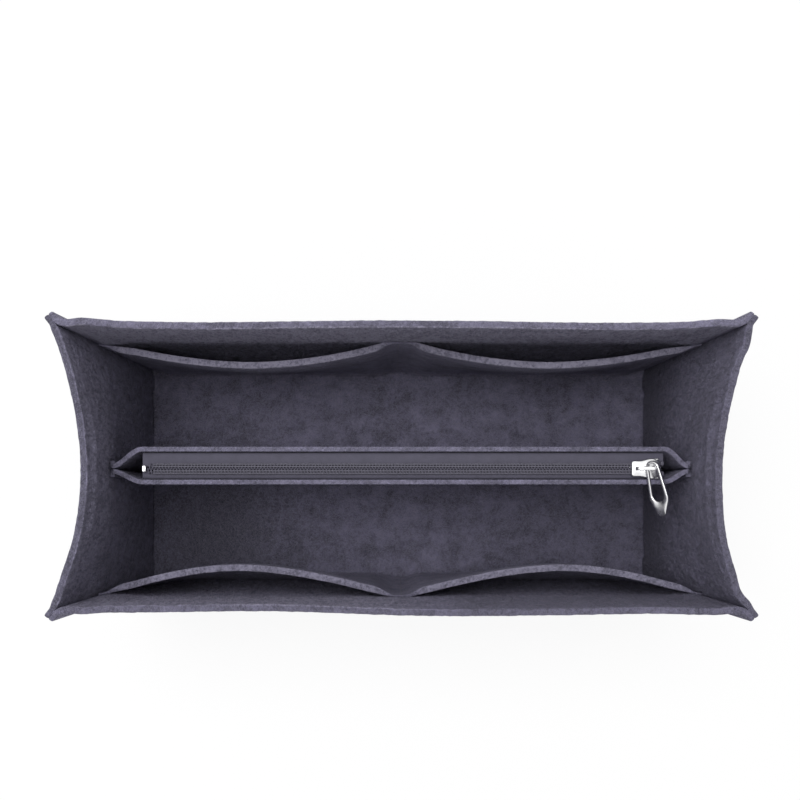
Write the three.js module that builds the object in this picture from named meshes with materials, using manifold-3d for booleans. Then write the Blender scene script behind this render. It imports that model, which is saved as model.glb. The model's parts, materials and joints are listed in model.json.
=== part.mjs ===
// Felt purse organizer insert: an open box of five sewn felt panels, a bowed pocket strip
// inside each long wall, and a hanging centre pocket that closes with a coil zip.
// Millimetres, +Z up, +X along the length, origin under the middle of the base.
import * as THREE from "three";
import { mergeVertices } from "three/addons/utils/BufferGeometryUtils.js";
import Module from "manifold-3d";

const wasm = await Module();
wasm.setup();

// Felt and seams
const FELT = 3;
const GAP = 0.3; // clearance between layers that lie on each other
const CORNER_MARGIN = 5.5; // raw edge outside the stitch line of a corner seam
const CORNER_BEND = 3; // length over which a panel turns into its corner margin
const CORNER_ANGLE = THREE.MathUtils.degToRad(33); // corner margins point outwards, off the X axis
const BASE_MARGIN = 5; // raw edge of the base seam outside the walls
const BASE_BEND = 4.5; // radius of the turn from a wall into its base margin
const SEAM_END_INSET = 2; // how far a base margin stops short of the corner bends
const BASE_CORNER_RADIUS = 8;

// Box
const BOX_LENGTH = 268; // inside, at the floor
const BOX_DEPTH = 112; // inside
const BOX_HEIGHT = 150;
const RIM_SPREAD = 3; // how far each end's corners lean outwards at the rim
const END_BOW = 10; // how far the middle of each end sinks inwards at the rim
const SKIRT_HEIGHT = 13; // up to here the panels stand square, with their base margin below

// Pocket strips inside the long walls
const STRIP_TOP = 104;
const STRIP_BOTTOM = 14;
const STRIP_END_INSET = 1.5; // from the corner
const STRIP_FLAT_HEIGHT = 8; // sewn flat along the bottom
const STRIP_SEAM = 4; // half width sewn flat at the middle, and the width sewn at each end
const FRONT_BOW = 10;
const BACK_BOW = 7.4;
const ARCH_POWER = 1.8; // 1 gives an arch with straight sides, 2 a round one

// Centre pocket
const POCKET_FELT = 2;
const POCKET_TOP = 116;
const POCKET_BOTTOM = 22;
const POCKET_FLAT_HEIGHT = 7; // two layers sewn together along the bottom
const POCKET_FLARE_HEIGHT = 34; // from the bottom seam up to the full width
const POCKET_HALF_GAP = 4.8; // from the middle to each panel's inner face
const POCKET_MARGIN = 1; // turned outwards flat against the end panels
const POCKET_TURN = 2.4; // radius of the turn into that margin
const POCKET_SHOULDER = 6; // how softly the straight part turns towards the tip
const POCKET_TIP = 2; // how softly the panels meet there

// Zip
const TAPE = 0.6;
const TAPE_DROP = 2.8; // from the felt's top edge down to the middle of the tape
const TAPE_EDGE = 1; // from the middle to each tape's inner edge
const TAPE_LEG = 9; // sewn down inside each felt panel
const TAPE_BEND = 0.9;
const TAPE_OVERRUN = 0.3; // past the stops
const COIL_PITCH = 1.4;
const COIL_HEIGHT = 1.8;
const CHAIN_HALF = 2.4; // half width of the closed chain
const TOOTH_REACH = 0.45; // how far each row's teeth cross the middle, and fall short of it
const TOOTH_GAP = 0.5; // between the two rows, measured across
const STOP_LENGTH = 1.6;
const STOP_HEIGHT = 2.7;
const STOP_WIDTH = 2;
const STOP_BEVEL = 0.25;
const ZIP_INSET = 20.5; // from the inside of the left end to the outer end of the bottom stop

// Slider and pull
const SLIDER_INSET = 26.5; // from the inside of the right end to the middle of the closed slider
const SLIDER_LENGTH = 12.4;
const SLIDER_WALL = 0.7;
const SLIDER_PLATE = 1.2;
const SLIDER_BOTTOM_PLATE = 1;
const SLIDER_CLEARANCE = 0.35; // round the chain and the tapes
const SLIDER_BEVEL = 0.3;
const SHOULDER_X = 2; // where the slider reaches its full width
const NOSE_HALF = 3; // half width at the front end
const POST_X = 2.8;
const POST_LENGTH = 2.6;
const POST_WIDTH = 1;
const BRIDGE_BACK = -5;
const BRIDGE_FRONT = 6;
const BRIDGE_WIDTH = 1.8;
const BRIDGE_BAR = 1.1;
const BRIDGE_LEG = 1.1;
const BRIDGE_CORNER = 1.3;
const PULL_X = 1.9; // where the pull hangs on the bar
const PULL_LENGTH = 22; // from the bar to the tip
const PULL_THICKNESS = 1.4;
const PULL_EYE_WIRE = 1.3;
const PULL_PLAY = 0.5; // round the bar, and under the eye
const PULL_BELLY_RADIUS = 4.7; // where the pull is widest
const PULL_BELLY_Y = -13;
const PULL_TIP_RADIUS = 2.2;
const PULL_SIDE_WIRE = 1.6; // beside the window, where the pull is widest
const PULL_TIP_SOLID = 7; // from the window to the tip
const PULL_BEVEL = 0.3;
const PULL_SLOPE = THREE.MathUtils.degToRad(6);
const PULL_TWIST = THREE.MathUtils.degToRad(50);
const PULL_SKEW = THREE.MathUtils.degToRad(7);

// Fineness of the surfaces
const BEND_STEPS = 4;
const BOW_STEPS = 12;
const END_LEVELS = 5;
const STRIP_STEPS = 40;
const STRIP_LEVELS = 7;
const POCKET_CURVE_STEPS = 7;
const POCKET_FLARE_LEVELS = 5;
const ROUND_STEPS = 10;

// Derived places
const FLOOR_TOP = FELT;
const MARGIN_BOTTOM = FLOOR_TOP + GAP;
const HALF_LENGTH = BOX_LENGTH / 2;
const HALF_DEPTH = BOX_DEPTH / 2;
const TAPE_Z = POCKET_TOP - TAPE_DROP;
const COIL_BOTTOM = TAPE / 2 + GAP;
const COIL_TOP = COIL_BOTTOM + COIL_HEIGHT;
const CHAIN_SPREAD = TOOTH_REACH - TOOTH_GAP / 2 + POST_WIDTH / 2 + GAP;
const ZIP_LEFT = ZIP_INSET - HALF_LENGTH;
const SLIDER_X = HALF_LENGTH - SLIDER_INSET;
const SLIDER_NOSE = SLIDER_X + SLIDER_LENGTH / 2;
const TOP_STOP_LEFT = SLIDER_NOSE + GAP;
const ZIP_RIGHT = TOP_STOP_LEFT + STOP_LENGTH;
const COIL_LEFT = ZIP_LEFT + STOP_LENGTH + GAP;
const COIL_RIGHT = TOP_STOP_LEFT - GAP;
const TAPE_LEFT = ZIP_LEFT - TAPE_OVERRUN;
const TAPE_RIGHT = ZIP_RIGHT + TAPE_OVERRUN;
const PLATE_BOTTOM = COIL_TOP + SLIDER_CLEARANCE;
const PLATE_TOP = PLATE_BOTTOM + SLIDER_PLATE;
const BAR_REACH = BRIDGE_BAR / 2 / Math.sin(PULL_TWIST) + PULL_THICKNESS / 2 / Math.tan(PULL_TWIST);
const PULL_EYE = Math.hypot(BAR_REACH, BRIDGE_WIDTH / 2) + PULL_PLAY; // inner radius round the bar
const BAR_Z = PLATE_TOP + PULL_EYE + PULL_EYE_WIRE + PULL_PLAY;

// Closed solids for joining and cutting
function solidOf(geometry) {
  const bare = geometry.clone();
  bare.deleteAttribute("normal");
  bare.deleteAttribute("uv");
  const merged = mergeVertices(bare, 1e-4);
  const mesh = new wasm.Mesh({
    numProp: 3,
    vertProperties: merged.attributes.position.array,
    triVerts: new Uint32Array(merged.index.array),
  });
  return new wasm.Manifold(mesh);
}

function geometryOf(solid) {
  const mesh = solid.getMesh();
  const geometry = new THREE.BufferGeometry();
  geometry.setAttribute("position", new THREE.BufferAttribute(mesh.vertProperties, 3));
  geometry.setIndex(new THREE.BufferAttribute(mesh.triVerts, 1));
  geometry.computeVertexNormals();
  return geometry;
}

// A plan path moved to its right by a distance, with mitred corners.
function offsetPath(points, distance) {
  return points.map((point, i) => {
    const before = points[Math.max(i - 1, 0)];
    const after = points[Math.min(i + 1, points.length - 1)];
    const incoming = point.clone().sub(i > 0 ? before : after).normalize();
    if (i === 0) incoming.negate();
    const outgoing = after.clone().sub(point).normalize();
    if (i === points.length - 1) outgoing.copy(incoming);
    const along = incoming.clone().add(outgoing).normalize();
    const miter = distance / along.dot(incoming);
    return new THREE.Vector2(point.x + along.y * miter, point.y - along.x * miter);
  });
}

// A sheet of one thickness lofted up through plan paths, its face on the path moved right by inset.
function loftSheet(levels, thickness, inset = 0) {
  const rings = levels.map(({ z, path }) => {
    const face = offsetPath(path, inset);
    const back = offsetPath(path, inset + thickness);
    const ring = [...back, ...face.reverse()];
    return ring.map((p) => new THREE.Vector3(p.x, p.y, z));
  });
  const size = rings[0].length;
  const index = [];
  const quad = (a, b, c, d) => index.push(a, b, c, a, c, d);
  for (let level = 0; level < rings.length - 1; level++) {
    for (let i = 0; i < size; i++) {
      const low = level * size;
      const next = (i + 1) % size;
      quad(low + i, low + next, low + size + next, low + size + i);
    }
  }
  const top = (rings.length - 1) * size;
  for (let i = 0; i < size / 2 - 1; i++) {
    const across = size - 1 - i;
    quad(across, across - 1, i + 1, i);
    quad(top + i, top + i + 1, top + across - 1, top + across);
  }
  const geometry = new THREE.BufferGeometry();
  const positions = rings.flat().flatMap((p) => p.toArray());
  geometry.setAttribute("position", new THREE.Float32BufferAttribute(positions, 3));
  geometry.setIndex(index);
  geometry.computeVertexNormals();
  return geometry;
}

// A section drawn outwards (x) and upwards (y), extruded centred along a horizontal direction.
function extrudeSection(shape, outward, length, bevel = 0) {
  const geometry = new THREE.ExtrudeGeometry(shape, {
    depth: length - 2 * bevel,
    curveSegments: ROUND_STEPS,
    bevelEnabled: bevel > 0,
    bevelThickness: bevel,
    bevelSize: bevel,
    bevelOffset: -bevel,
    bevelSegments: 1,
  });
  geometry.translate(0, 0, bevel - length / 2);
  const up = new THREE.Vector3(0, 0, 1);
  const along = outward.clone().cross(up);
  return geometry.applyMatrix4(new THREE.Matrix4().makeBasis(outward, up, along));
}

// A plan outline extruded upwards between two heights.
function extrudeUp(shape, bottom, top, bevel = 0) {
  const geometry = new THREE.ExtrudeGeometry(shape, {
    depth: top - bottom - 2 * bevel,
    curveSegments: ROUND_STEPS,
    bevelEnabled: bevel > 0,
    bevelThickness: bevel,
    bevelSize: bevel,
    bevelOffset: -bevel,
    bevelSegments: 1,
  });
  return geometry.translate(0, 0, bottom + bevel);
}

function roundedRectangle(left, bottom, right, top, radius) {
  const shape = new THREE.Shape();
  shape.moveTo(left + radius, bottom);
  shape.lineTo(right - radius, bottom);
  shape.absarc(right - radius, bottom + radius, radius, -Math.PI / 2, 0);
  shape.lineTo(right, top - radius);
  shape.absarc(right - radius, top - radius, radius, 0, Math.PI / 2);
  shape.lineTo(left + radius, top);
  shape.absarc(left + radius, top - radius, radius, Math.PI / 2, Math.PI);
  shape.lineTo(left, bottom + radius);
  shape.absarc(left + radius, bottom + radius, radius, Math.PI, 1.5 * Math.PI);
  return shape;
}

// How far the box has opened at a height: 0 over the square skirt, 1 at the rim.
function rise(z) {
  return Math.max(0, (z - SKIRT_HEIGHT) / (BOX_HEIGHT - SKIRT_HEIGHT));
}

function cornerX(z) {
  return HALF_LENGTH + RIM_SPREAD * rise(z);
}

// Inner face of an end panel at the middle of its width.
function endMiddleX(z) {
  return cornerX(z) - END_BOW * rise(z);
}

// The front wall seen from above, from its left margin to its right margin.
function wallPath(z) {
  const x = cornerX(z);
  const y = -HALF_DEPTH;
  const turnX = CORNER_BEND * Math.cos(CORNER_ANGLE);
  const turnY = CORNER_BEND * Math.sin(CORNER_ANGLE);
  const reach = 1 + CORNER_MARGIN / CORNER_BEND;
  const path = new THREE.Path();
  path.moveTo(-x - turnX * reach, y - turnY * reach);
  path.lineTo(-x - turnX, y - turnY);
  path.quadraticCurveTo(-x, y, -x + CORNER_BEND, y);
  path.lineTo(x - CORNER_BEND, y);
  path.quadraticCurveTo(x, y, x + turnX, y - turnY);
  path.lineTo(x + turnX * reach, y - turnY * reach);
  return path.getPoints(BEND_STEPS);
}

// The right end panel seen from above, from its front margin to its back margin.
function endPath(z) {
  const x = cornerX(z);
  const turnX = CORNER_BEND * Math.cos(CORNER_ANGLE);
  const turnY = CORNER_BEND * Math.sin(CORNER_ANGLE);
  const reach = 1 + CORNER_MARGIN / CORNER_BEND;
  const bowY = HALF_DEPTH - CORNER_BEND;
  const share = (2 * CORNER_BEND) / bowY;
  const bowX = (x + share * endMiddleX(z)) / (1 + share);
  const bow = new THREE.QuadraticBezierCurve(
    new THREE.Vector2(bowX, -bowY),
    new THREE.Vector2(2 * endMiddleX(z) - bowX, 0),
    new THREE.Vector2(bowX, bowY),
  );
  const front = new THREE.Path();
  front.moveTo(x + turnX * reach, -HALF_DEPTH - turnY * reach);
  front.lineTo(x + turnX, -HALF_DEPTH - turnY);
  front.quadraticCurveTo(x, -HALF_DEPTH, bowX, -bowY);
  const frontPoints = front.getPoints(BEND_STEPS);
  const backPoints = frontPoints.map((p) => new THREE.Vector2(p.x, -p.y)).reverse();
  return [...frontPoints, ...bow.getPoints(BOW_STEPS).slice(1, -1), ...backPoints];
}

// The turned-out base margin of a panel whose inner face stands at a distance from the middle.
function skirtSection(distance) {
  const path = new THREE.Path();
  path.moveTo(distance, SKIRT_HEIGHT);
  path.lineTo(distance, MARGIN_BOTTOM + BASE_BEND);
  path.quadraticCurveTo(distance, MARGIN_BOTTOM, distance + BASE_BEND, MARGIN_BOTTOM);
  path.lineTo(distance + FELT + BASE_MARGIN, MARGIN_BOTTOM);
  const inner = path.getPoints(BEND_STEPS);
  const outer = offsetPath(inner, -FELT);
  return new THREE.Shape([...inner, ...outer.reverse()]);
}

// A wall or end panel: the lofted sheet with its foot replaced by the turned-out margin.
function boxPanel(pathAt, heights, outward, distance, seamLength) {
  const levels = heights.map((z) => ({ z, path: pathAt(z) }));
  const sheet = solidOf(loftSheet(levels, FELT, GAP / 2));
  const footHeight = SKIRT_HEIGHT - GAP - MARGIN_BOTTOM;
  const foot = new THREE.Shape();
  foot.moveTo(distance - FELT, 0);
  foot.lineTo(distance + 2 * FELT, 0);
  foot.lineTo(distance + 2 * FELT, MARGIN_BOTTOM + footHeight);
  foot.lineTo(distance - FELT, MARGIN_BOTTOM + footHeight);
  const footCut = solidOf(extrudeSection(foot, outward, seamLength - 2 * GAP));
  const skirt = solidOf(extrudeSection(skirtSection(distance + GAP / 2), outward, seamLength));
  return geometryOf(sheet.subtract(footCut).add(skirt));
}

function frontWallGeometry() {
  const heights = [MARGIN_BOTTOM, SKIRT_HEIGHT, BOX_HEIGHT];
  const outward = new THREE.Vector3(0, -1, 0);
  const seamLength = 2 * (HALF_LENGTH - CORNER_BEND - SEAM_END_INSET);
  return boxPanel(wallPath, heights, outward, HALF_DEPTH, seamLength);
}

function endPanelGeometry() {
  const heights = [MARGIN_BOTTOM];
  for (let i = 0; i <= END_LEVELS; i++) {
    heights.push(THREE.MathUtils.lerp(SKIRT_HEIGHT, BOX_HEIGHT, i / END_LEVELS));
  }
  const outward = new THREE.Vector3(1, 0, 0);
  const seamLength = 2 * (HALF_DEPTH - CORNER_BEND - SEAM_END_INSET);
  return boxPanel(endPath, heights, outward, HALF_LENGTH, seamLength);
}

function basePanelGeometry() {
  const x = HALF_LENGTH + GAP / 2 + FELT + BASE_MARGIN;
  const y = HALF_DEPTH + GAP / 2 + FELT + BASE_MARGIN;
  return extrudeUp(roundedRectangle(-x, -y, x, y, BASE_CORNER_RADIUS), 0, FLOOR_TOP);
}

// How far the strip stands off the wall along its length: two arches between three seams.
function archAt(x, halfLength) {
  const span = halfLength - 2 * STRIP_SEAM;
  const share = THREE.MathUtils.clamp((Math.abs(x) - STRIP_SEAM) / span, 0, 1);
  return 1 - Math.pow(Math.abs(2 * share - 1), ARCH_POWER);
}

// A pocket strip on the front wall, sewn at its bottom, its ends and its middle.
function pocketStripGeometry(bow) {
  const halfLength = HALF_LENGTH - STRIP_END_INSET;
  const seat = -HALF_DEPTH - GAP / 2 + GAP + FELT;
  const openFrom = STRIP_BOTTOM + STRIP_FLAT_HEIGHT;
  const heights = [STRIP_BOTTOM];
  for (let i = 0; i < STRIP_LEVELS; i++) {
    heights.push(THREE.MathUtils.lerp(openFrom, STRIP_TOP, i / (STRIP_LEVELS - 1)));
  }
  const levels = heights.map((z) => {
    const share = Math.max(0, (z - openFrom) / (STRIP_TOP - openFrom));
    const depth = bow * Math.sin((share * Math.PI) / 2);
    const path = [];
    for (let i = 0; i <= STRIP_STEPS; i++) {
      const x = THREE.MathUtils.lerp(-halfLength, halfLength, i / STRIP_STEPS);
      path.push(new THREE.Vector2(x, seat + depth * archAt(x, halfLength)));
    }
    return { z, path };
  });
  return loftSheet(levels, FELT);
}

// One end of a centre pocket panel: from its straight part in to the seam, then out to the margin.
function pocketEnd(z, halfGap, straightTo) {
  const marginX = endMiddleX(z) - GAP / 2;
  const seamX = marginX - POCKET_TURN;
  const seamY = -GAP / 2;
  const path = new THREE.Path();
  path.moveTo(straightTo, -halfGap);
  path.bezierCurveTo(straightTo + POCKET_SHOULDER, -halfGap, seamX - POCKET_TIP, seamY, seamX, seamY);
  path.quadraticCurveTo(marginX, seamY, marginX, seamY - POCKET_TURN);
  path.lineTo(marginX, seamY - POCKET_TURN - POCKET_MARGIN);
  return path.getPoints(POCKET_CURVE_STEPS);
}

// The front panel of the centre pocket, with its straight part between two X places.
function pocketPanelGeometry(left, right) {
  const flareFrom = POCKET_BOTTOM + POCKET_FLAT_HEIGHT;
  const flareTo = flareFrom + POCKET_FLARE_HEIGHT;
  const heights = [POCKET_BOTTOM];
  for (let i = 0; i <= POCKET_FLARE_LEVELS; i++) {
    heights.push(THREE.MathUtils.lerp(flareFrom, flareTo, i / POCKET_FLARE_LEVELS));
  }
  heights.push((flareTo + POCKET_TOP) / 2, POCKET_TOP);
  const levels = heights.map((z) => {
    const share = THREE.MathUtils.smoothstep(z, flareFrom, flareTo);
    const halfGap = THREE.MathUtils.lerp(GAP / 2, POCKET_HALF_GAP, share);
    const leftEnd = pocketEnd(z, halfGap, -left).map((p) => new THREE.Vector2(-p.x, p.y));
    return { z, path: [...leftEnd.reverse(), ...pocketEnd(z, halfGap, right)] };
  });
  return loftSheet(levels, POCKET_FELT);
}

// The front zip tape: flat under the chain, then turned down inside the felt panel.
function tapeGeometry(left, right) {
  const legOuter = POCKET_HALF_GAP - GAP;
  const path = new THREE.Path();
  path.moveTo(TAPE_EDGE, TAPE / 2);
  path.lineTo(legOuter - TAPE_BEND, TAPE / 2);
  path.quadraticCurveTo(legOuter, TAPE / 2, legOuter, TAPE / 2 - TAPE_BEND);
  path.lineTo(legOuter, -TAPE_LEG);
  const outer = path.getPoints(BEND_STEPS);
  const inner = offsetPath(outer, TAPE);
  const section = new THREE.Shape([...inner, ...outer.reverse()]);
  const geometry = extrudeSection(section, new THREE.Vector3(0, -1, 0), right - left);
  return geometry.translate((left + right) / 2, 0, TAPE_Z);
}

// How far each coil row has moved aside at a place, to pass the slider's post.
function spreadAt(x) {
  const from = SLIDER_X - SHOULDER_X;
  const to = SLIDER_X + POST_X - GAP;
  return CHAIN_SPREAD * THREE.MathUtils.clamp((x - from) / (to - from), 0, 1);
}

// One row of the zip chain: a spine with a tooth at every pitch, meshing with the other row's.
function coilGeometry(side) {
  const steps = Math.floor((COIL_RIGHT - COIL_LEFT) / (COIL_PITCH / 2));
  const teeth = [];
  for (let i = 0; i <= steps; i++) {
    const x = COIL_LEFT + (i * COIL_PITCH) / 2;
    const wave = i % 2 === 0 ? TOOTH_REACH : -TOOTH_REACH;
    teeth.push(new THREE.Vector2(x, wave + side * (TOOTH_GAP / 2 + spreadAt(x))));
  }
  const bends = [COIL_LEFT, SLIDER_X - SHOULDER_X, SLIDER_X + POST_X - GAP, teeth.at(-1).x];
  const spine = bends.map((x) => new THREE.Vector2(x, side * (CHAIN_HALF + spreadAt(x))));
  const outline = new THREE.Shape([...teeth, ...spine.reverse()]);
  return extrudeUp(outline, TAPE_Z + COIL_BOTTOM, TAPE_Z + COIL_TOP);
}

function stopGeometry(left, front, back) {
  const outline = new THREE.Shape();
  outline.moveTo(left, front);
  outline.lineTo(left + STOP_LENGTH, front);
  outline.lineTo(left + STOP_LENGTH, back);
  outline.lineTo(left, back);
  const bottom = TAPE_Z + COIL_BOTTOM;
  return extrudeUp(outline, bottom, bottom + STOP_HEIGHT, STOP_BEVEL);
}

// Outline of a slider plate: a narrow tail, wide shoulders and a rounded nose.
function sliderOutline(tailHalf, shoulderHalf, noseHalf) {
  const tail = -SLIDER_LENGTH / 2;
  const nose = SLIDER_LENGTH / 2;
  const cheek = nose - (shoulderHalf - noseHalf);
  const outline = new THREE.Shape();
  outline.moveTo(tail, -tailHalf);
  outline.lineTo(-SHOULDER_X, -tailHalf);
  outline.bezierCurveTo(0, -tailHalf, 0, -shoulderHalf, SHOULDER_X, -shoulderHalf);
  outline.lineTo(cheek, -shoulderHalf);
  outline.quadraticCurveTo(nose, -shoulderHalf, nose, -noseHalf);
  outline.lineTo(nose, noseHalf);
  outline.quadraticCurveTo(nose, shoulderHalf, cheek, shoulderHalf);
  outline.lineTo(SHOULDER_X, shoulderHalf);
  outline.bezierCurveTo(0, shoulderHalf, 0, tailHalf, -SHOULDER_X, tailHalf);
  outline.lineTo(tail, tailHalf);
  return outline;
}

// The way through the slider: as wide as the closed chain at the tail, as the parted rows ahead.
function throatOutline(tailHalf, mouthHalf) {
  const past = SLIDER_LENGTH / 2 + SLIDER_WALL;
  const outline = new THREE.Shape();
  outline.moveTo(-past, -tailHalf);
  outline.lineTo(-SHOULDER_X, -tailHalf);
  outline.lineTo(SHOULDER_X, -mouthHalf);
  outline.lineTo(past, -mouthHalf);
  outline.lineTo(past, mouthHalf);
  outline.lineTo(SHOULDER_X, mouthHalf);
  outline.lineTo(-SHOULDER_X, tailHalf);
  outline.lineTo(-past, tailHalf);
  return outline;
}

function bridgeGeometry() {
  const top = BAR_Z + BRIDGE_BAR / 2;
  const foot = PLATE_TOP - SLIDER_BEVEL;
  const shape = new THREE.Shape();
  shape.moveTo(BRIDGE_BACK, foot);
  shape.lineTo(BRIDGE_FRONT, foot);
  shape.lineTo(BRIDGE_FRONT, top - BRIDGE_CORNER);
  shape.quadraticCurveTo(BRIDGE_FRONT, top, BRIDGE_FRONT - BRIDGE_CORNER, top);
  shape.lineTo(BRIDGE_BACK + BRIDGE_CORNER, top);
  shape.quadraticCurveTo(BRIDGE_BACK, top, BRIDGE_BACK, top - BRIDGE_CORNER);
  const hole = new THREE.Path();
  hole.moveTo(BRIDGE_BACK + BRIDGE_LEG, PLATE_TOP);
  hole.lineTo(BRIDGE_BACK + BRIDGE_LEG, top - BRIDGE_BAR);
  hole.lineTo(BRIDGE_FRONT - BRIDGE_LEG, top - BRIDGE_BAR);
  hole.lineTo(BRIDGE_FRONT - BRIDGE_LEG, PLATE_TOP);
  shape.holes.push(hole);
  return extrudeSection(shape, new THREE.Vector3(1, 0, 0), BRIDGE_WIDTH);
}

// The slider about its own middle: two plates, side walls, the post that parts the rows, the bridge.
function sliderGeometry() {
  const tailHalf = CHAIN_HALF + SLIDER_CLEARANCE;
  const mouthHalf = tailHalf + CHAIN_SPREAD;
  const outline = sliderOutline(tailHalf + SLIDER_WALL, mouthHalf + SLIDER_WALL, NOSE_HALF);
  const wallBottom = TAPE / 2 + SLIDER_CLEARANCE;
  const throat = solidOf(extrudeUp(throatOutline(tailHalf, mouthHalf), 0, PLATE_BOTTOM));
  const body = solidOf(extrudeUp(outline, wallBottom, PLATE_TOP, SLIDER_BEVEL)).subtract(throat);
  const legInner = POCKET_HALF_GAP - GAP - TAPE;
  const underHalf = legInner - SLIDER_CLEARANCE;
  const underOutline = sliderOutline(tailHalf, underHalf, Math.min(NOSE_HALF, underHalf));
  const underTop = -TAPE / 2 - SLIDER_CLEARANCE;
  const under = solidOf(extrudeUp(underOutline, underTop - SLIDER_BOTTOM_PLATE, underTop, SLIDER_BEVEL));
  const post = new THREE.Shape();
  post.moveTo(POST_X, 0);
  post.quadraticCurveTo(POST_X, -POST_WIDTH / 2, POST_X + POST_LENGTH / 2, -POST_WIDTH / 2);
  post.lineTo(POST_X + POST_LENGTH, -POST_WIDTH / 2);
  post.lineTo(POST_X + POST_LENGTH, POST_WIDTH / 2);
  post.lineTo(POST_X + POST_LENGTH / 2, POST_WIDTH / 2);
  post.quadraticCurveTo(POST_X, POST_WIDTH / 2, POST_X, 0);
  const postBottom = underTop - SLIDER_BOTTOM_PLATE / 2;
  const postTop = PLATE_BOTTOM + SLIDER_PLATE / 2;
  const posted = body.add(under).add(solidOf(extrudeUp(post, postBottom, postTop)));
  return geometryOf(posted.add(solidOf(bridgeGeometry())));
}

// An outline drawn tight round a row of circles, each further down -Y than the one before.
function circleOutline(Outline, circles) {
  const last = circles.length - 1;
  const leans = [];
  for (let i = 0; i < last; i++) {
    const drop = circles[i].y - circles[i + 1].y;
    leans.push(Math.asin((circles[i + 1].radius - circles[i].radius) / drop));
  }
  const outline = new Outline();
  const arc = (i, from, to) => outline.absarc(0, circles[i].y, circles[i].radius, from, to);
  arc(0, leans[0], Math.PI - leans[0]);
  for (let i = 1; i < last; i++) {
    arc(i, Math.PI - leans[i - 1], Math.PI - leans[i]);
  }
  arc(last, Math.PI - leans[last - 1], 2 * Math.PI + leans[last - 1]);
  for (let i = last - 1; i > 0; i--) {
    arc(i, 2 * Math.PI + leans[i], 2 * Math.PI + leans[i - 1]);
  }
  outline.closePath();
  return outline;
}

// The pull lies flat round the origin, its eye about the bar and its tip towards -Y.
function pullGeometry() {
  const shape = circleOutline(THREE.Shape, [
    { y: 0, radius: PULL_EYE + PULL_EYE_WIRE },
    { y: PULL_BELLY_Y, radius: PULL_BELLY_RADIUS },
    { y: PULL_TIP_RADIUS - PULL_LENGTH, radius: PULL_TIP_RADIUS },
  ]);
  const windowRadius = PULL_BELLY_RADIUS - PULL_SIDE_WIRE;
  const windowY = PULL_TIP_SOLID + windowRadius - PULL_LENGTH;
  const eye = { y: 0, radius: PULL_EYE };
  shape.holes.push(circleOutline(THREE.Path, [eye, { y: windowY, radius: windowRadius }]));
  return extrudeUp(shape, -PULL_THICKNESS / 2, PULL_THICKNESS / 2, PULL_BEVEL);
}

// Finishes
const feltFinish = () => new THREE.MeshStandardMaterial({ color: 0x45444b, roughness: 0.95, metalness: 0 });
const tapeFinish = () => new THREE.MeshStandardMaterial({ color: 0x39383d, roughness: 0.8, metalness: 0 });
const coilFinish = () => new THREE.MeshStandardMaterial({ color: 0x4a494f, roughness: 0.45, metalness: 0 });
const chromeFinish = () => new THREE.MeshStandardMaterial({ color: 0xc9c9cc, roughness: 0.2, metalness: 1 });

const organizer = new THREE.Group();

function addPiece(name, geometry, material, parent = organizer) {
  const mesh = new THREE.Mesh(geometry, material);
  mesh.name = name;
  parent.add(mesh);
  return mesh;
}

// Box
addPiece("base_panel", basePanelGeometry(), feltFinish());
addPiece("front_wall", frontWallGeometry(), feltFinish());
addPiece("back_wall", frontWallGeometry(), feltFinish()).rotation.z = Math.PI;
addPiece("right_end_panel", endPanelGeometry(), feltFinish());
addPiece("left_end_panel", endPanelGeometry(), feltFinish()).rotation.z = Math.PI;
addPiece("front_pocket_strip", pocketStripGeometry(FRONT_BOW), feltFinish());
addPiece("back_pocket_strip", pocketStripGeometry(BACK_BOW), feltFinish()).rotation.z = Math.PI;

// Centre pocket and zip
addPiece("zip_pocket_front_panel", pocketPanelGeometry(TAPE_LEFT, TAPE_RIGHT), feltFinish());
const pocketBack = pocketPanelGeometry(-TAPE_RIGHT, -TAPE_LEFT);
addPiece("zip_pocket_back_panel", pocketBack, feltFinish()).rotation.z = Math.PI;
addPiece("zip_tape_front", tapeGeometry(TAPE_LEFT, TAPE_RIGHT), tapeFinish());
addPiece("zip_tape_back", tapeGeometry(-TAPE_RIGHT, -TAPE_LEFT), tapeFinish()).rotation.z = Math.PI;
addPiece("zip_coil_front", coilGeometry(-1), coilFinish());
addPiece("zip_coil_back", coilGeometry(1), coilFinish());
addPiece("bottom_stop", stopGeometry(ZIP_LEFT, -STOP_WIDTH, STOP_WIDTH), chromeFinish());
const stopInner = TAPE_EDGE + GAP;
addPiece("top_stop_front", stopGeometry(TOP_STOP_LEFT, -stopInner - STOP_WIDTH, -stopInner), coilFinish());
addPiece("top_stop_back", stopGeometry(TOP_STOP_LEFT, stopInner, stopInner + STOP_WIDTH), coilFinish());

// Slider with its pull
const slider = new THREE.Group();
slider.position.set(SLIDER_X, 0, TAPE_Z);
organizer.add(slider);
addPiece("zip_slider", sliderGeometry(), chromeFinish(), slider);
const pull = addPiece("pull_tab", pullGeometry(), chromeFinish(), slider);
pull.position.set(PULL_X, 0, BAR_Z);
pull.rotation.set(PULL_SLOPE, -PULL_TWIST, PULL_SKEW, "ZXY");

export default organizer;
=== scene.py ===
"""Looks of a felt purse organizer insert: an open box with pockets and a zipped centre pocket.

Metres, +Z up, +X along the length, origin under the middle of the base, as in the packed model.
"""
import json
import math

import bpy
import numpy as np
from bpy.props import FloatProperty, FloatVectorProperty, PointerProperty
from mathutils import Euler, Matrix, noise, Vector
from mathutils.kdtree import KDTree


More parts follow.
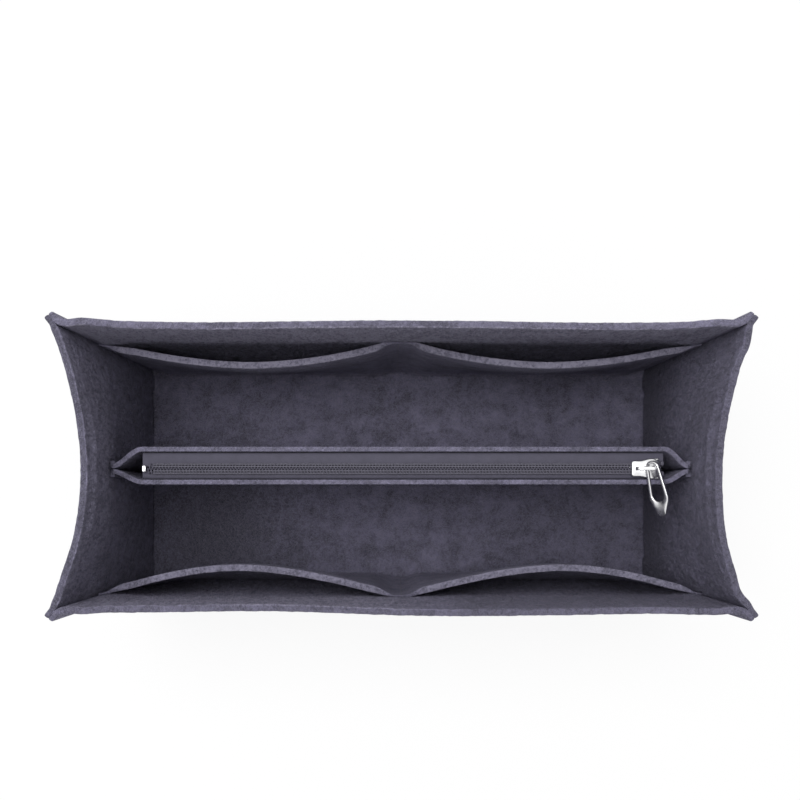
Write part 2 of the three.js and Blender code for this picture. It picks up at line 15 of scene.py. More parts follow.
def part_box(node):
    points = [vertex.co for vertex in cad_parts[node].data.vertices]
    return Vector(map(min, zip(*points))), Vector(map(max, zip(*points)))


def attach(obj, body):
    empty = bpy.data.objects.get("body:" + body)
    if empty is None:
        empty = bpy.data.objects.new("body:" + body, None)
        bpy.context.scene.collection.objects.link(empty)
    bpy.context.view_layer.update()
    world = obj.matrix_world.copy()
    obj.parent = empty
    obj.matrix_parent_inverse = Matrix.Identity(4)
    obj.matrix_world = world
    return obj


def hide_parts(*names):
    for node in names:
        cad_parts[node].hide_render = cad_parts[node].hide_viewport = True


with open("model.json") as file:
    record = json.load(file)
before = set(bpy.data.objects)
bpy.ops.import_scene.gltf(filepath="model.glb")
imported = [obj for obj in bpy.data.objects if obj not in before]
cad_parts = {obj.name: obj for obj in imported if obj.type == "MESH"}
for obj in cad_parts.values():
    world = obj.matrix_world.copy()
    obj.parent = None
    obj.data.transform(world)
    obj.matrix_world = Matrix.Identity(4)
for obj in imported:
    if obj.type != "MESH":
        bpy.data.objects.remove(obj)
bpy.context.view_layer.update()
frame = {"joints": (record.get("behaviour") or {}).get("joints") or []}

bl_info = {
    "name": "Felt Purse Organizer",
    "version": (1, 0, 0),
    "blender": (4, 5, 0),
    "location": "3D View > Sidebar > Organizer",
    "description": "Makes the felt panels, zip, stitching and stage of a purse organizer insert",
    "category": "Object",
}

# Sizes that the packed model gives
MM = 0.001
GAP = 0.3 * MM  # clearance between layers that lie on each other
SEAM_OVERLAP = 0.08 * MM  # how far the layers of a corner seam press together
BASE_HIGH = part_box("base_panel")[1]
STRIP_LOW, STRIP_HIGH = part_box("front_pocket_strip")
BACK_STRIP_LOW, BACK_STRIP_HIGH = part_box("back_pocket_strip")
POCKET_LOW, POCKET_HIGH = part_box("zip_pocket_front_panel")
TAPE_LOW, TAPE_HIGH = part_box("zip_tape_front")
COIL_LOW, COIL_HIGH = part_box("zip_coil_front")
SLIDER_LOW, SLIDER_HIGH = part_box("zip_slider")
FELT = BASE_HIGH.z
RIM_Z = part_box("front_wall")[1].z
WALL_Y = GAP - STRIP_LOW.y  # inner face of the long walls
HALF_DEPTH = WALL_Y - GAP / 2
SEAM_Z = FELT + GAP  # underside of the panels' base margins
PULL_PIVOT = Vector(next(j["pos_m"] for j in frame["joints"] if j["name"] == "pull_swing"))
SLIDER_X = (SLIDER_LOW.x + SLIDER_HIGH.x) / 2


# Settings that a maker would change

def length(name, description, millimetres):
    return FloatProperty(
        name=name, description=description, unit="LENGTH", default=millimetres * MM)


def angle(name, description, degrees):
    return FloatProperty(
        name=name, description=description, subtype="ANGLE", default=math.radians(degrees))


def tint(name, description, *colour):
    return FloatVectorProperty(
        name=name, description=description, subtype="COLOR", size=3, min=0, max=1, default=colour)


class FeltSettings(bpy.types.PropertyGroup):
    """Felt: its colour, raw edges and cut."""

    colour: tint("Felt", "Colour of the felt", 0.124, 0.116, 0.176)
    # The light fibres' colour is also the colour that pale raw edges and painted light mix toward,
    # and the dark fibres' colour is the colour that painted shade mixes toward.
    fleck_and_painted_light: tint("Light fibres", "Colour of the pale fibres in the felt", 0.28, 0.265, 0.345)
    shade: tint("Dark fibres", "Colour of the dark fibres in the felt", 0.038, 0.036, 0.05)
    edge_round: length("Edge rounding", "How round the raw edges are", 0.75)
    bulge: length("Bulge", "How far the long walls bulge below the rim", 2.4)
    crease: length("Crease", "Depth of the soft crease below the end panels' rims", 1.1)
    wave: length("Waviness", "How far the free rims wander", 0.45)
    tuft: length("Tufts", "How far the felt's tufts stand up on the panels", 0.5)
    fine: length("Panel mesh size", "Distance between the columns of walls and ends", 1.05)
    grain: length("Mesh size", "Distance between the mesh's columns elsewhere", 2)
    pocket_felt: length("Pocket felt", "Thickness of the centre pocket's felt", 2)


class SeamSettings(bpy.types.PropertyGroup):
    """Seam margins and stitches."""

    corner_margin: length("Corner margin", "Raw edge outside a corner seam", 3.4)
    corner_bend: length("Corner bend", "Length of the turn into a corner margin", 4)
    corner_press: FloatProperty(
        name="Corner press", description="Share of the felt's thickness left in a corner margin",
        subtype="FACTOR", min=0.2, max=1, default=0.76)
    wall_sweep: length("Wall sweep", "How far from a corner a wall starts to turn out", 9)
    end_sweep: length("End sweep", "How far from a corner an end panel starts to turn out", 6)
    corner_angle: angle("Corner angle", "Direction of the corner margins, off the length", 52)
    base_margin: length("Base margin", "Raw edge outside the base seam", 5)
    base_bend: length("Base bend", "Size of the turn from a wall into its base margin", 4.5)
    strip_inset: length("Strip inset", "From the corner to a pocket strip's end", 1.5)
    strip_seam: length("Strip seam", "Half width sewn flat at a strip's middle", 4)
    flat_height: length("Flat foot", "Height sewn flat along a strip's bottom", 8)
    stitch: length("Stitch", "Length of a stitch", 2.7)
    pitch: length("Stitch pitch", "Distance between stitches", 3.2)
    thread: length("Thread", "Thickness of the thread", 0.5)
    thread_colour: tint("Thread colour", "Colour of the thread", 0.13, 0.124, 0.175)


class BoxSettings(bpy.types.PropertyGroup):
    """How the box stands open."""

    rim_spread: length("Rim spread", "How far the corners lean out at the rim", 5)
    end_bow: length("End bow", "How far the ends sink in at the rim", 12)
    skirt: length("Square foot", "Up to here the panels stand square", 13)
    arch_power: FloatProperty(
        name="Arch", description="1 gives pocket arches with straight sides, 2 round ones",
        default=1.8)
    flare_from: length("Flare start", "Height of the centre pocket's bottom seam", 29)
    flare_height: length("Flare", "From that seam up to the centre pocket's full width", 34)
    back_room: length("Back room", "How much further off the zip the back panel stands", 2.8)
    pocket_turn: length("Pocket turn", "Turn of the pocket's ends into their margins", 2.4)
    pocket_margin: length("Pocket margin", "Width sewn to the end panels", 1)
    pocket_shoulder: length("Pocket shoulder", "How softly the pocket turns to its tips", 3.2)
    pocket_tip: length("Pocket tip", "How softly the panels meet at the tips", 3.5)


class ZipSettings(bpy.types.PropertyGroup):
    """Zip: tapes, coil and metal."""

    tape: length("Tape", "Thickness of the tapes", 0.6)
    tape_bend: length("Tape bend", "Turn of the tapes into the pocket", 0.9)
    tape_colour: tint("Tape colour", "Colour of the woven tapes", 0.053, 0.05, 0.073)
    pitch: length("Coil pitch", "Distance between the turns of a coil", 1.4)
    filament: length("Filament", "Thickness of the coil's filament", 0.56)
    overlap: length("Overlap", "How far each row reaches past the middle", 0.55)
    spread: length("Spread", "How far the rows part at the slider's post", 1)
    coil_colour: tint("Coil colour", "Colour of the coil", 0.078, 0.074, 0.1)
    metal_colour: tint("Metal colour", "Colour of the plated metal", 0.82, 0.82, 0.83)
    pull_slope: angle("Pull slope", "How far the pull dips to its tip", 6)
    pull_twist: angle("Pull twist", "How far the pull leans over", 50)
    pull_skew: angle("Pull skew", "How far the pull's tip swings aside", 14)
    pull_width: length("Pull width", "Width of the pull where it is widest", 9.4)
    pull_length: length("Pull length", "From the bar to the pull's tip", 22)


class StageSettings(bpy.types.PropertyGroup):
    """Camera, light and floor."""

    height: FloatProperty(
        name="Camera height", description="Height of the camera", unit="LENGTH", default=0.5615)
    offset: FloatVectorProperty(
        name="Camera offset", description="How far the camera stands off the middle",
        subtype="TRANSLATION", size=2, unit="LENGTH", default=(-0.005, -0.012))
    lens: FloatProperty(
        name="Lens", description="Focal length", unit="CAMERA", default=45.67)
    shift: FloatVectorProperty(
        name="Shift", description="How far the frame is moved right and up", size=2,
        default=(0.0135, 0.12))
    key: FloatProperty(
        name="Key light", description="Power of the large lamp", unit="POWER", default=16)
    key_place: FloatVectorProperty(
        name="Key place", description="Where the large lamp hangs", subtype="TRANSLATION",
        unit="LENGTH", default=(-0.2, 0.16, 1.45))
    key_size: length("Key size", "Width of the large lamp", 900)
    fill: FloatProperty(
        name="Fill light", description="Strength of the light from all round", default=0.55)
    backdrop: tint("Backdrop", "Colour of the floor", 0.9, 0.9, 0.9)
    glow: FloatProperty(
        name="Glow", description="How white the floor looks to the camera", subtype="FACTOR",
        min=0, max=1, default=0.86)


# Shader maths

class Wire:
    """A node's output that takes arithmetic: each operation adds a Math node."""

    def __init__(self, nodes, socket):
        self.nodes = nodes
        self.socket = socket

    def __add__(self, other):
        return self.nodes.math("ADD", self, other)

    def __sub__(self, other):
        return self.nodes.math("SUBTRACT", self, other)

    def __rsub__(self, other):
        return self.nodes.math("SUBTRACT", other, self)

    def __mul__(self, other):
        return self.nodes.math("MULTIPLY", self, other)

    def __truediv__(self, other):
        return self.nodes.math("DIVIDE", self, other)

    def __abs__(self):
        return self.nodes.math("ABSOLUTE", self)

    def clamped(self):
        return self.nodes.math("ADD", self, 0, clamp=True)

    __radd__ = __add__
    __rmul__ = __mul__


class Nodes:
    """The node tree of one material or of the world."""

    def __init__(self, owner):
        owner.use_nodes = True
        self.tree = owner.node_tree
        self.tree.nodes.clear()

    def node(self, kind, settings=None, inputs=None, output=0):
        """Adds a node: its settings first, then the values or links of its sockets."""
        made = self.tree.nodes.new(kind)
        for name, value in (settings or {}).items():
            setattr(made, name, value)
        for name, value in (inputs or {}).items():
            socket = made.inputs[name]
            if isinstance(value, Wire):
                self.tree.links.new(value.socket, socket)
            else:
                socket.default_value = value
        return Wire(self, made.outputs[output]) if made.outputs else None

    def math(self, operation, *values, clamp=False):
        settings = {"operation": operation, "use_clamp": clamp}
        return self.node("ShaderNodeMath", settings, dict(enumerate(values)))

    def mix(self, factor, first, second):
        inputs = {0: factor, 6: first, 7: second}
        return self.node("ShaderNodeMix", {"data_type": "RGBA"}, inputs, 2)

    def shades(self, factor, base, dark, light):
        """Between a darker and a lighter shade of a colour."""
        ends = (colour4(min(c * share, 1) for c in base) for share in (dark, light))
        return self.mix(factor, *ends)

    def noise(self, place, scale, detail=2, roughness=0.5, distortion=0):
        inputs = {"Vector": place, "Scale": scale, "Detail": detail, "Roughness": roughness}
        return self.node("ShaderNodeTexNoise", None, {**inputs, "Distortion": distortion})

    def attribute(self, name):
        return self.node("ShaderNodeAttribute", {"attribute_name": name}, output="Fac")

    def ray(self, kind):
        return self.node("ShaderNodeLightPath", output=f"Is {kind} Ray")

    def place(self, offset=(0, 0, 0), stretch=(1, 1, 1)):
        """Object coordinates, moved and stretched."""
        bare = self.node("ShaderNodeTexCoord", output="Object")
        inputs = {"Vector": bare, "Location": offset, "Scale": stretch}
        return self.node("ShaderNodeMapping", None, inputs)

    def bump(self, strength, distance, height):
        inputs = {"Strength": strength, "Distance": distance, "Height": height}
        return self.node("ShaderNodeBump", None, inputs)

    def principled(self, inputs):
        return self.node("ShaderNodeBsdfPrincipled", None, inputs)

    def finish(self, shader):
        self.node("ShaderNodeOutputMaterial", None, {"Surface": shader})


WHITE = 1, 1, 1, 1


def colour4(colour):
    return (*colour, 1)


def fibre_lines(nodes, offset, scale, width):
    """Thin curly lines: where a warped noise crosses its middle."""
    warped = nodes.noise(nodes.place(offset), scale, 1.5, 0.5, 1.6)
    return 1 - (abs(warped - 0.5) / width).clamped()


def combed(nodes, inner, offset, scale, detail, roughness):
    """A noise that is drawn out up and down on the steep inner faces."""
    loose = nodes.noise(nodes.place(offset), scale, detail, roughness)
    drawn = nodes.noise(nodes.place(offset, stretch=(1, 1, 0.45)), scale, detail, roughness)
    return loose + inner * (drawn - loose)


def felt_looks(scene, nodes):
    """Needled felt: a tangle of dark and pale fibres, paler on raw edges where the fibres are cut,
    with a painted highlight there, and painted light and painted shade on inner faces, rims and
    the floor.
    """
    felt = scene.organizer_felt
    # One stored value carries painted light above 0 and painted shade below 0, with the paleness
    # of raw edges.
    inner, painted_light_and_pale_edge = nodes.attribute("inner"), nodes.attribute("painted_light_and_pale_edge")
    clouds = nodes.noise(nodes.place((0.9, 0.4, 0.2)), 34, 2, 0.5)
    clumps = combed(nodes, inner, (0.3, 0.1, 0.7), 110, 5, 0.7)
    mottle = combed(nodes, inner, (0, 0, 0), 380, 3, 0.6)
    speck = nodes.noise(nodes.place((0.2, 0.6, 0.4), stretch=(1, 1, 0.4)), 820, 2, 0.6) - 0.5
    pale = fibre_lines(nodes, (0.11, 0.05, 0.02), 330, 0.035)
    pale_fine = fibre_lines(nodes, (0.47, 0.21, 0.33), 640, 0.05)
    dark = fibre_lines(nodes, (0.83, 0.64, 0.12), 380, 0.045)
    rough = (inner + abs(painted_light_and_pale_edge)).clamped()
    mixed = (mottle - 0.5) * (0.16 + rough * 0.5) + (clumps - 0.5) * (0.7 - inner * 0.3)
    mixed = mixed + (clouds - 0.5) * 0.14 + speck * (0.12 + abs(painted_light_and_pale_edge).clamped() * 0.6)
    tone = (0.5 + mixed * (4 + inner)).clamped()
    body = nodes.shades(tone, felt.colour, 0.42, 1.6)
    darkened = nodes.mix(dark * 0.36, body, colour4(felt.shade))
    flecked = nodes.mix((pale * 0.3 + pale_fine * 0.22).clamped(), darkened, colour4(felt.fleck_and_painted_light))
    # Painted light: the colour paled toward the light fibres on raw edges, where cut fibres are
    # paler and a painted highlight lies, and on the upper inner faces.
    raw = (painted_light_and_pale_edge * (0.12 + 0.34 * tone)).clamped()
    # Painted shade: the colour darkened toward the dark fibres on rims, on inner faces and in
    # spots on the floor.
    shaded = nodes.mix((painted_light_and_pale_edge * -0.6).clamped(), flecked, colour4(felt.shade))
    colour = nodes.mix(raw, shaded, colour4(felt.fleck_and_painted_light))
    relief = mottle * 0.6 + pale * 0.1 + pale_fine * 0.05 - dark * 0.06 + clumps * 1.8
    return nodes.principled({
        "Base Color": colour, "Roughness": 0.96, "Normal": nodes.bump(1, 3 * MM, relief),
        "Specular IOR Level": 0.15, "Sheen Weight": 0.5, "Sheen Roughness": 0.6,
        "Sheen Tint": (0.6, 0.58, 0.76, 1)})


def tape_looks(scene, nodes):
    """Woven tape: fine crossing yarns on the piece's own UV map, in millimetres."""
    warp_width, weft_width = 0.55, 0.5
    plan = nodes.node("ShaderNodeUVMap", {"uv_map": "UVMap"})
    along = nodes.node("ShaderNodeSeparateXYZ", None, {"Vector": plan}, "X")
    across = nodes.node("ShaderNodeSeparateXYZ", None, {"Vector": plan}, "Y")
    warp = nodes.math("SINE", across * (2 * math.pi / warp_width))
    weft = along * (2 * math.pi / weft_width) + nodes.math("SIGN", warp) * 1.57
    weave = warp * nodes.math("SINE", weft) * 0.5 + 0.5
    wear = nodes.noise(nodes.place(), 260, 3, 0.6)
    tone = (weave * 0.55 + wear * 0.6).clamped()
    return nodes.principled({
        "Base Color": nodes.shades(tone, scene.organizer_zip.tape_colour, 0.6, 1.6),
        "Roughness": 0.78, "Normal": nodes.bump(0.5, 0.12 * MM, weave + wear * 0.3),
        "Sheen Weight": 0.12, "Sheen Roughness": 0.4})


def coil_looks(scene, nodes):
    """Drawn nylon filament: dark, smooth, a little scuffed on top."""
    scuff = nodes.noise(nodes.place(), 700, 3, 0.6)
    return nodes.principled({
        "Base Color": nodes.shades(scuff, scene.organizer_zip.coil_colour, 0.75, 1.35),
        "Roughness": 0.5 + scuff * 0.25, "Coat Weight": 0.03, "Specular IOR Level": 0.3})


def metal_looks(scene, nodes):
    """Bright plated zinc: faint polishing marks and handling smudges."""
    smudge = nodes.noise(nodes.place(), 330, 4, 0.6)
    marks = nodes.noise(nodes.place(stretch=(1, 0.12, 1)), 4200, 2, 0.5)
    return nodes.principled({
        "Base Color": nodes.shades(smudge, scene.organizer_zip.metal_colour, 0.92, 1.1),
        "Metallic": 1, "Roughness": 0.17 + smudge * 0.16,
        "Normal": nodes.bump(0.12, 0.02 * MM, marks)})


def thread_looks(nodes, base):
    """Twisted sewing thread."""
    twist = nodes.noise(nodes.place(), 1500, 2, 0.5)
    return nodes.principled({
        "Base Color": nodes.shades(twist, base, 0.6, 1.5), "Roughness": 0.6,
        "Normal": nodes.bump(0.4, 0.06 * MM, twist), "Sheen Weight": 0.1})


LOOKS = {
    "needled_felt": felt_looks,
    "woven_tape": tape_looks,
    "woven_tape_thread": lambda scene, nodes: thread_looks(nodes, scene.organizer_zip.coil_colour),
    "nylon_coil": coil_looks,
    "plated_metal": metal_looks,
    "sewing_thread": lambda scene, nodes: thread_looks(nodes, scene.organizer_seams.thread_colour),
}


def material_of(scene, name):
    """The material of that name, made when it is first asked for."""
    material = bpy.data.materials.get(name)
    if not material:
        material = bpy.data.materials.new(name)
        nodes = Nodes(material)
        nodes.finish(LOOKS[name](scene, nodes))
    return material


# Modelling helpers

def pick(*pieces):
    """Selects pieces and makes the first one active."""
    bpy.ops.object.select_all(action="DESELECT")
    for piece in pieces:
        piece.select_set(True)
    bpy.context.view_layer.objects.active = pieces[0]


def move_vertices(piece, points):
    piece.data.vertices.foreach_set("co", points.astype(np.float32).ravel())
    piece.data.update()


def grid_piece(name, points):
    """A grid primitive with its rows and columns moved to the places given."""
    rows, columns = points.shape[:2]
    bpy.ops.mesh.primitive_grid_add(x_subdivisions=columns - 1, y_subdivisions=rows - 1, size=1)
    piece = bpy.context.object
    piece.name = piece.data.name = name
    move_vertices(piece, points)
    return piece


def apply_modifier(piece, kind, **settings):
    modifier = piece.modifiers.new(kind.title(), kind)
    for name, value in settings.items():
        setattr(modifier, name, value)
    bpy.context.view_layer.objects.active = piece
    bpy.ops.object.modifier_apply(modifier=modifier.name)


def in_edit_mode(piece, *steps):
    """Runs mesh operators on all of a piece."""
    pick(piece)
    bpy.ops.object.mode_set(mode="EDIT")
    bpy.ops.mesh.select_all(action="SELECT")
    for step in steps:
        step()
    bpy.ops.object.mode_set(mode="OBJECT")


def face_outward():
    bpy.ops.mesh.select_all(action="SELECT")
    bpy.ops.mesh.normals_make_consistent(inside=False)


def merge_and_close():
    bpy.ops.mesh.remove_doubles(threshold=1e-6)
    bpy.ops.mesh.select_all(action="DESELECT")
    bpy.ops.mesh.select_non_manifold()
    bpy.ops.mesh.fill_holes(sides=0)
    face_outward()


def finish_piece(scene, piece, smooth, material, body, node=None):
    """Smooths a piece up to an angle, gives it its material, hangs it on its body and hides the
    packed part of that node.
    """
    pick(piece)
    bpy.ops.object.shade_smooth_by_angle(angle=math.radians(smooth))
    piece.data.materials.clear()
    piece.data.materials.append(material_of(scene, material))
    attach(piece, body)
    if node:
        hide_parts(node)


def flat_size(points):
    """Width and height of a sheet, measured along its middle surface."""
    steps = (np.linalg.norm(np.diff(points, axis=axis), axis=2).sum(axis=axis) for axis in (1, 0))
    return tuple(float(reach.mean()) for reach in steps)


def vertex_rows(piece):
    """Places and normals of a piece's vertices, one row each."""
    places, normals = np.zeros((2, len(piece.data.vertices), 3), np.float32)
    piece.data.vertices.foreach_get("co", places.ravel())
    piece.data.vertices.foreach_get("normal", normals.ravel())
    return places, normals


def raise_tufts(piece, height):
    """Moves the vertices of a panel in and out in small tufts, less where it lies on another."""
    coarse_per_metre, fine_per_metre = 460, 880
    foot, rim = (14 * MM, 28 * MM), (RIM_Z - 8 * MM, RIM_Z - 3 * MM)
    places, normals = vertex_rows(piece)
    large, small = (np.array([noise.noise(place) for place in places * per_metre])
                    for per_metre in (coarse_per_metre, fine_per_metre))
    free = smoothstep(places[:, 2], *foot)
    free *= 1 - 0.7 * smoothstep(places[:, 2], *rim)
    out_x, out_y = np.abs(places[:, 0]), np.abs(places[:, 1])
    margin = smoothstep(out_x, STRIP_HIGH.x - 3 * MM, STRIP_HIGH.x)
    margin = margin * smoothstep(out_y, HALF_DEPTH - 5 * MM, HALF_DEPTH - 2 * MM)
    lift = height * (large + 0.7 * small) * free * (1 - margin)
    places += normals * lift[:, None]
    move_vertices(piece, places)


def mark_painted_light_and_pale_edges(piece, points, thickness, edge, top, foot, painted_light_and_shade_spots):
    """Stores painted light and painted shade with the paleness of raw edges: above 0 paler, below
    0 darker.

    Raw edges are paler where their fibres are cut, with a painted highlight; below 0 an edge value
    is painted shade on a rim. Top is painted light on the upper part of an inner face, at its left
    and at its right, and painted shade where it is below 0; foot is painted shade on the lower
    part. The
    spots are painted shade: their place and radius in millimetres, and their amount; a negative
    amount paints light.
    """
    raw_width, raw_fade, faces_inward = 0.65 * thickness, 0.25 * thickness, -0.3
    # Left to right: where the two top values blend; high part: where painted light and shade lie
    # on the upper inner faces; low part: where the foot's painted shade fades out.
    left_to_right, low_part = (-20 * MM, 45 * MM), (15 * MM, 85 * MM)
    high_part = RIM_Z - 60 * MM, RIM_Z - 36 * MM
    edge = np.broadcast_to(edge, points.shape[:2])
    rim, share = (np.concatenate([rows[0], rows[-1], rows[:, 0], rows[:, -1]])
                  for rows in (points, edge))
    tree = KDTree(len(rim))
    for i, place in enumerate(rim):
        tree.insert(place, i)
    tree.balance()
    places, normals = vertex_rows(piece)
    found = [tree.find(place) for place in places]
    far = np.array([hit[2] for hit in found])
    raw = np.array([share[hit[1]] for hit in found])
    raw = raw * np.clip(1 - (far - raw_width) / raw_fade, 0, 1)
    plan = places[:, :2]
    outward = plan / np.maximum(np.linalg.norm(plan, axis=1), 1e-9)[:, None]
    inner = (normals[:, :2] * outward).sum(axis=1) < faces_inward
    # Painted light (top above 0) and painted shade (top below 0, and foot) on inner faces, then
    # spots of painted shade, of painted light where the amount is negative.
    painted_light_and_shade = top[0] + (top[1] - top[0]) * smoothstep(places[:, 0], *left_to_right)
    painted_light_and_shade = painted_light_and_shade * smoothstep(places[:, 2], *high_part)
    painted_light_and_shade = inner * (painted_light_and_shade - foot * (1 - smoothstep(places[:, 2], *low_part)))
    for x, y, radius, amount in painted_light_and_shade_spots:
        away = (places[:, 0] - x * MM) ** 2 + (places[:, 1] - y * MM) ** 2
        painted_light_and_shade -= amount * np.exp(-away / (radius * MM) ** 2)
    steep = inner * (1 - np.abs(normals[:, 2]))
    for name, values in (("painted_light_and_pale_edge", np.where(painted_light_and_shade != 0, painted_light_and_shade, raw)), ("inner", steep)):
        attribute = piece.data.attributes.new(name, "FLOAT", "POINT")
        attribute.data.foreach_set("value", values.astype(np.float32))


def felt_sheet(scene, name, points, node, held, rests_on, thickness=FELT, left=None, tuft=0,
               edge=0.55, top=(0, 0), foot=0, painted_light_and_shade_spots=()):
    """A felt panel: its middle surface thickened, its raw edges rounded, and the paleness of its
    raw edges with its painted light and shade stored.
    """
    piece = grid_piece(name, points)
    group = ""
    if left is not None:
        group = piece.vertex_groups.new(name="thickness").name
        for index, share in enumerate(left.ravel()):
            piece.vertex_groups[group].add([index], share, "REPLACE")
    apply_modifier(piece, "SOLIDIFY", thickness=thickness, offset=0, use_even_offset=True,
                   use_quality_normals=True, vertex_group=group)
    apply_modifier(piece, "BEVEL", width=scene.organizer_felt.edge_round * thickness / FELT,
                   segments=3, limit_method="ANGLE", angle_limit=math.radians(55),
                   use_clamp_overlap=not tuft)
    in_edit_mode(piece, face_outward)
    mark_painted_light_and_pale_edges(piece, points, thickness, edge, top, foot, painted_light_and_shade_spots)
    if tuft:
        raise_tufts(piece, tuft)
    finish_piece(scene, piece, 60, "needled_felt", "organizer", node)
    flat_size(points)


# Plan paths and heights

def smoothstep(value, low, high):
    share = np.clip((value - low) / (high - low), 0, 1)
    return share * share * (3 - 2 * share)


def line(start, end, steps):
    share = np.linspace(0, 1, steps + 1)[:, None]
    return (1 - share) * np.array(start) + share * np.array(end)


def curve(start, control, end, steps):
    t = np.linspace(0, 1, steps + 1)[:, None]
    start, control, end = map(np.array, (start, control, end))
    return (1 - t) ** 2 * start + 2 * t * (1 - t) * control + t ** 2 * end


def cubic(start, first, second, end, steps):
    t = np.linspace(0, 1, steps + 1)[:, None]
    start, first, second, end = map(np.array, (start, first, second, end))
    near = (1 - t) ** 3 * start + 3 * t * (1 - t) ** 2 * first
    return near + 3 * t ** 2 * (1 - t) * second + t ** 3 * end


def nearest(values, target):
    return int(np.argmin(np.abs(values - target)))


def reach_along(path):
    """How far each point of a path lies from its start, measured along it."""
    steps = np.linalg.norm(np.diff(path, axis=0), axis=1)
    return np.concatenate([[0], np.cumsum(steps)])


def chain(*parts):
    """Parts of a path end to end, each join kept once."""
    return np.concatenate([parts[0]] + [part[1:] for part in parts[1:]])


def directions(path):
    along = np.gradient(path, axis=0)
    return along / np.linalg.norm(along, axis=1)[:, None]


def moved_right(path, distance):
    """A plan path moved to the right of its direction."""
    along = directions(path)
    return path + np.reshape(distance, (-1, 1)) * np.stack([along[:, 1], -along[:, 0]], axis=1)


def raised(plan, z):
    """Plan points at a height, or at a height each."""
    return np.column_stack([plan, np.broadcast_to(np.ravel(z), len(plan))])


def squared(wave, power):
    """A wave with its swings made squarer, the more so the smaller the power."""
    return np.sign(wave) * np.abs(wave) ** power


def half_turn(points):
    """Points turned by 180 degrees about the vertical."""
    return points * (-1, -1, 1)


def rise(scene, z):
    """How far the box has opened at a height: 0 over the square foot, 1 at the rim."""
    skirt = scene.organizer_box.skirt
    return max(0.0, (z - skirt) / (RIM_Z - skirt))


def corner_x(scene, z):
    floor_x = STRIP_HIGH.x + scene.organizer_seams.strip_inset
    return floor_x + scene.organizer_box.rim_spread * rise(scene, z)


def end_middle_x(scene, z):
    """Inner face of an end panel at the middle of its width."""
    return corner_x(scene, z) - scene.organizer_box.end_bow * rise(scene, z)


def ear(scene, z):
    """The front right corner margin: its tip, the start of its bend, and the corner itself."""
    seams = scene.organizer_seams
    turn = np.array([math.cos(seams.corner_angle), -math.sin(seams.corner_angle)])
    corner = np.array([corner_x(scene, z), -HALF_DEPTH])
    bend = corner + turn * seams.corner_bend
    return bend + turn * seams.corner_margin, bend, corner


def wall_path(scene, z):
    """The front wall's inner face seen from above, from its left margin to its right margin."""
    tip, bend, corner = ear(scene, z)
    inward = corner - (scene.organizer_seams.wall_sweep, 0)
    right = chain(curve(inward, corner, bend, 14), line(bend, tip, 3))
    left = (right * (-1, 1))[::-1]
    steps = round(2 * STRIP_HIGH.x / scene.organizer_felt.fine)
    return chain(left, line(left[-1], inward, steps), right)


def end_path(scene, z):
    """The right end's inner face seen from above, from its front margin to its back margin."""
    sweep = scene.organizer_seams.end_sweep
    middle = end_middle_x(scene, z)
    tip, bend, corner = ear(scene, z)
    bow_y = HALF_DEPTH - sweep
    share = 2 * sweep / bow_y
    bow_x = (corner[0] + share * middle) / (1 + share)
    start = np.array([bow_x, -bow_y])
    front = chain(line(tip, bend, 3), curve(bend, corner, start, 10))
    back = (front * (1, -1))[::-1]
    steps = round(2 * bow_y / scene.organizer_felt.fine)
    return chain(front, curve(start, (2 * middle - bow_x, 0), start * (1, -1), steps), back)


def panel_left(scene, path):
    """How much of a panel's thickness is left along its path: less where its margins are sewn."""
    seams = scene.organizer_seams
    reach = reach_along(path)
    from_tip = np.minimum(reach, reach[-1] - reach)
    free = smoothstep(from_tip, seams.corner_margin, seams.corner_margin + seams.corner_bend)
    return seams.corner_press + (1 - seams.corner_press) * free


def panel_points(scene, path_at, seam_axis, wander):
    """Middle surface of a wall or end panel, from its turned-out base margin up to its rim.

    Also how much of its thickness is left at each point.
    """
    seams, felt, skirt = scene.organizer_seams, scene.organizer_felt, scene.organizer_box.skirt
    low = SEAM_Z + FELT / 2
    turn = seams.base_bend - FELT / 2
    turned = chain(
        line((seams.base_margin + FELT / 2, low), (turn, low), 3),
        curve((turn, low), (0, low), (0, low + turn), 6),
        line((0, low + turn), (0, skirt), 3))
    straight = line((0, SEAM_Z + GAP), (0, skirt), len(turned) - 1)
    left = panel_left(scene, path_at(scene, skirt))
    half = FELT / 2 * left - SEAM_OVERLAP
    foot_path = moved_right(path_at(scene, skirt), half)
    outward = moved_right(foot_path, 1) - foot_path
    reach = np.abs(foot_path[:, seam_axis])
    unsewn = 12 * MM  # at each end of the base seam
    seam_end = reach.max() - seams.corner_margin - unsewn
    sewn = (1 - smoothstep(reach, seam_end - 8 * MM, seam_end + 2 * MM))[:, None]
    lift = 4 * sewn * (1 - sewn) * 0.9 * MM
    rows = []
    for out, (_, height) in zip(turned, straight):
        plan = foot_path + outward * sewn * out[0]
        rows.append(raised(plan, sewn * out[1] + (1 - sewn) * height + lift))
    for z in np.linspace(skirt, RIM_Z, round((RIM_Z - skirt) / felt.fine) + 1)[1:]:
        path = moved_right(path_at(scene, z), half)
        side = moved_right(path, 1) - path
        rows.append(raised(path + side * wander(path, z)[:, None], z))
    return np.array(rows), np.broadcast_to(left, (len(rows), len(left)))


def wall_bulge(x, z, bulge):
    """How far a long wall stands out below its rim."""
    held = smoothstep(-np.abs(x), -STRIP_HIGH.x - 3 * MM, 16 * MM - STRIP_HIGH.x)
    return bulge * held * np.sin(math.pi * z / RIM_Z) ** 2


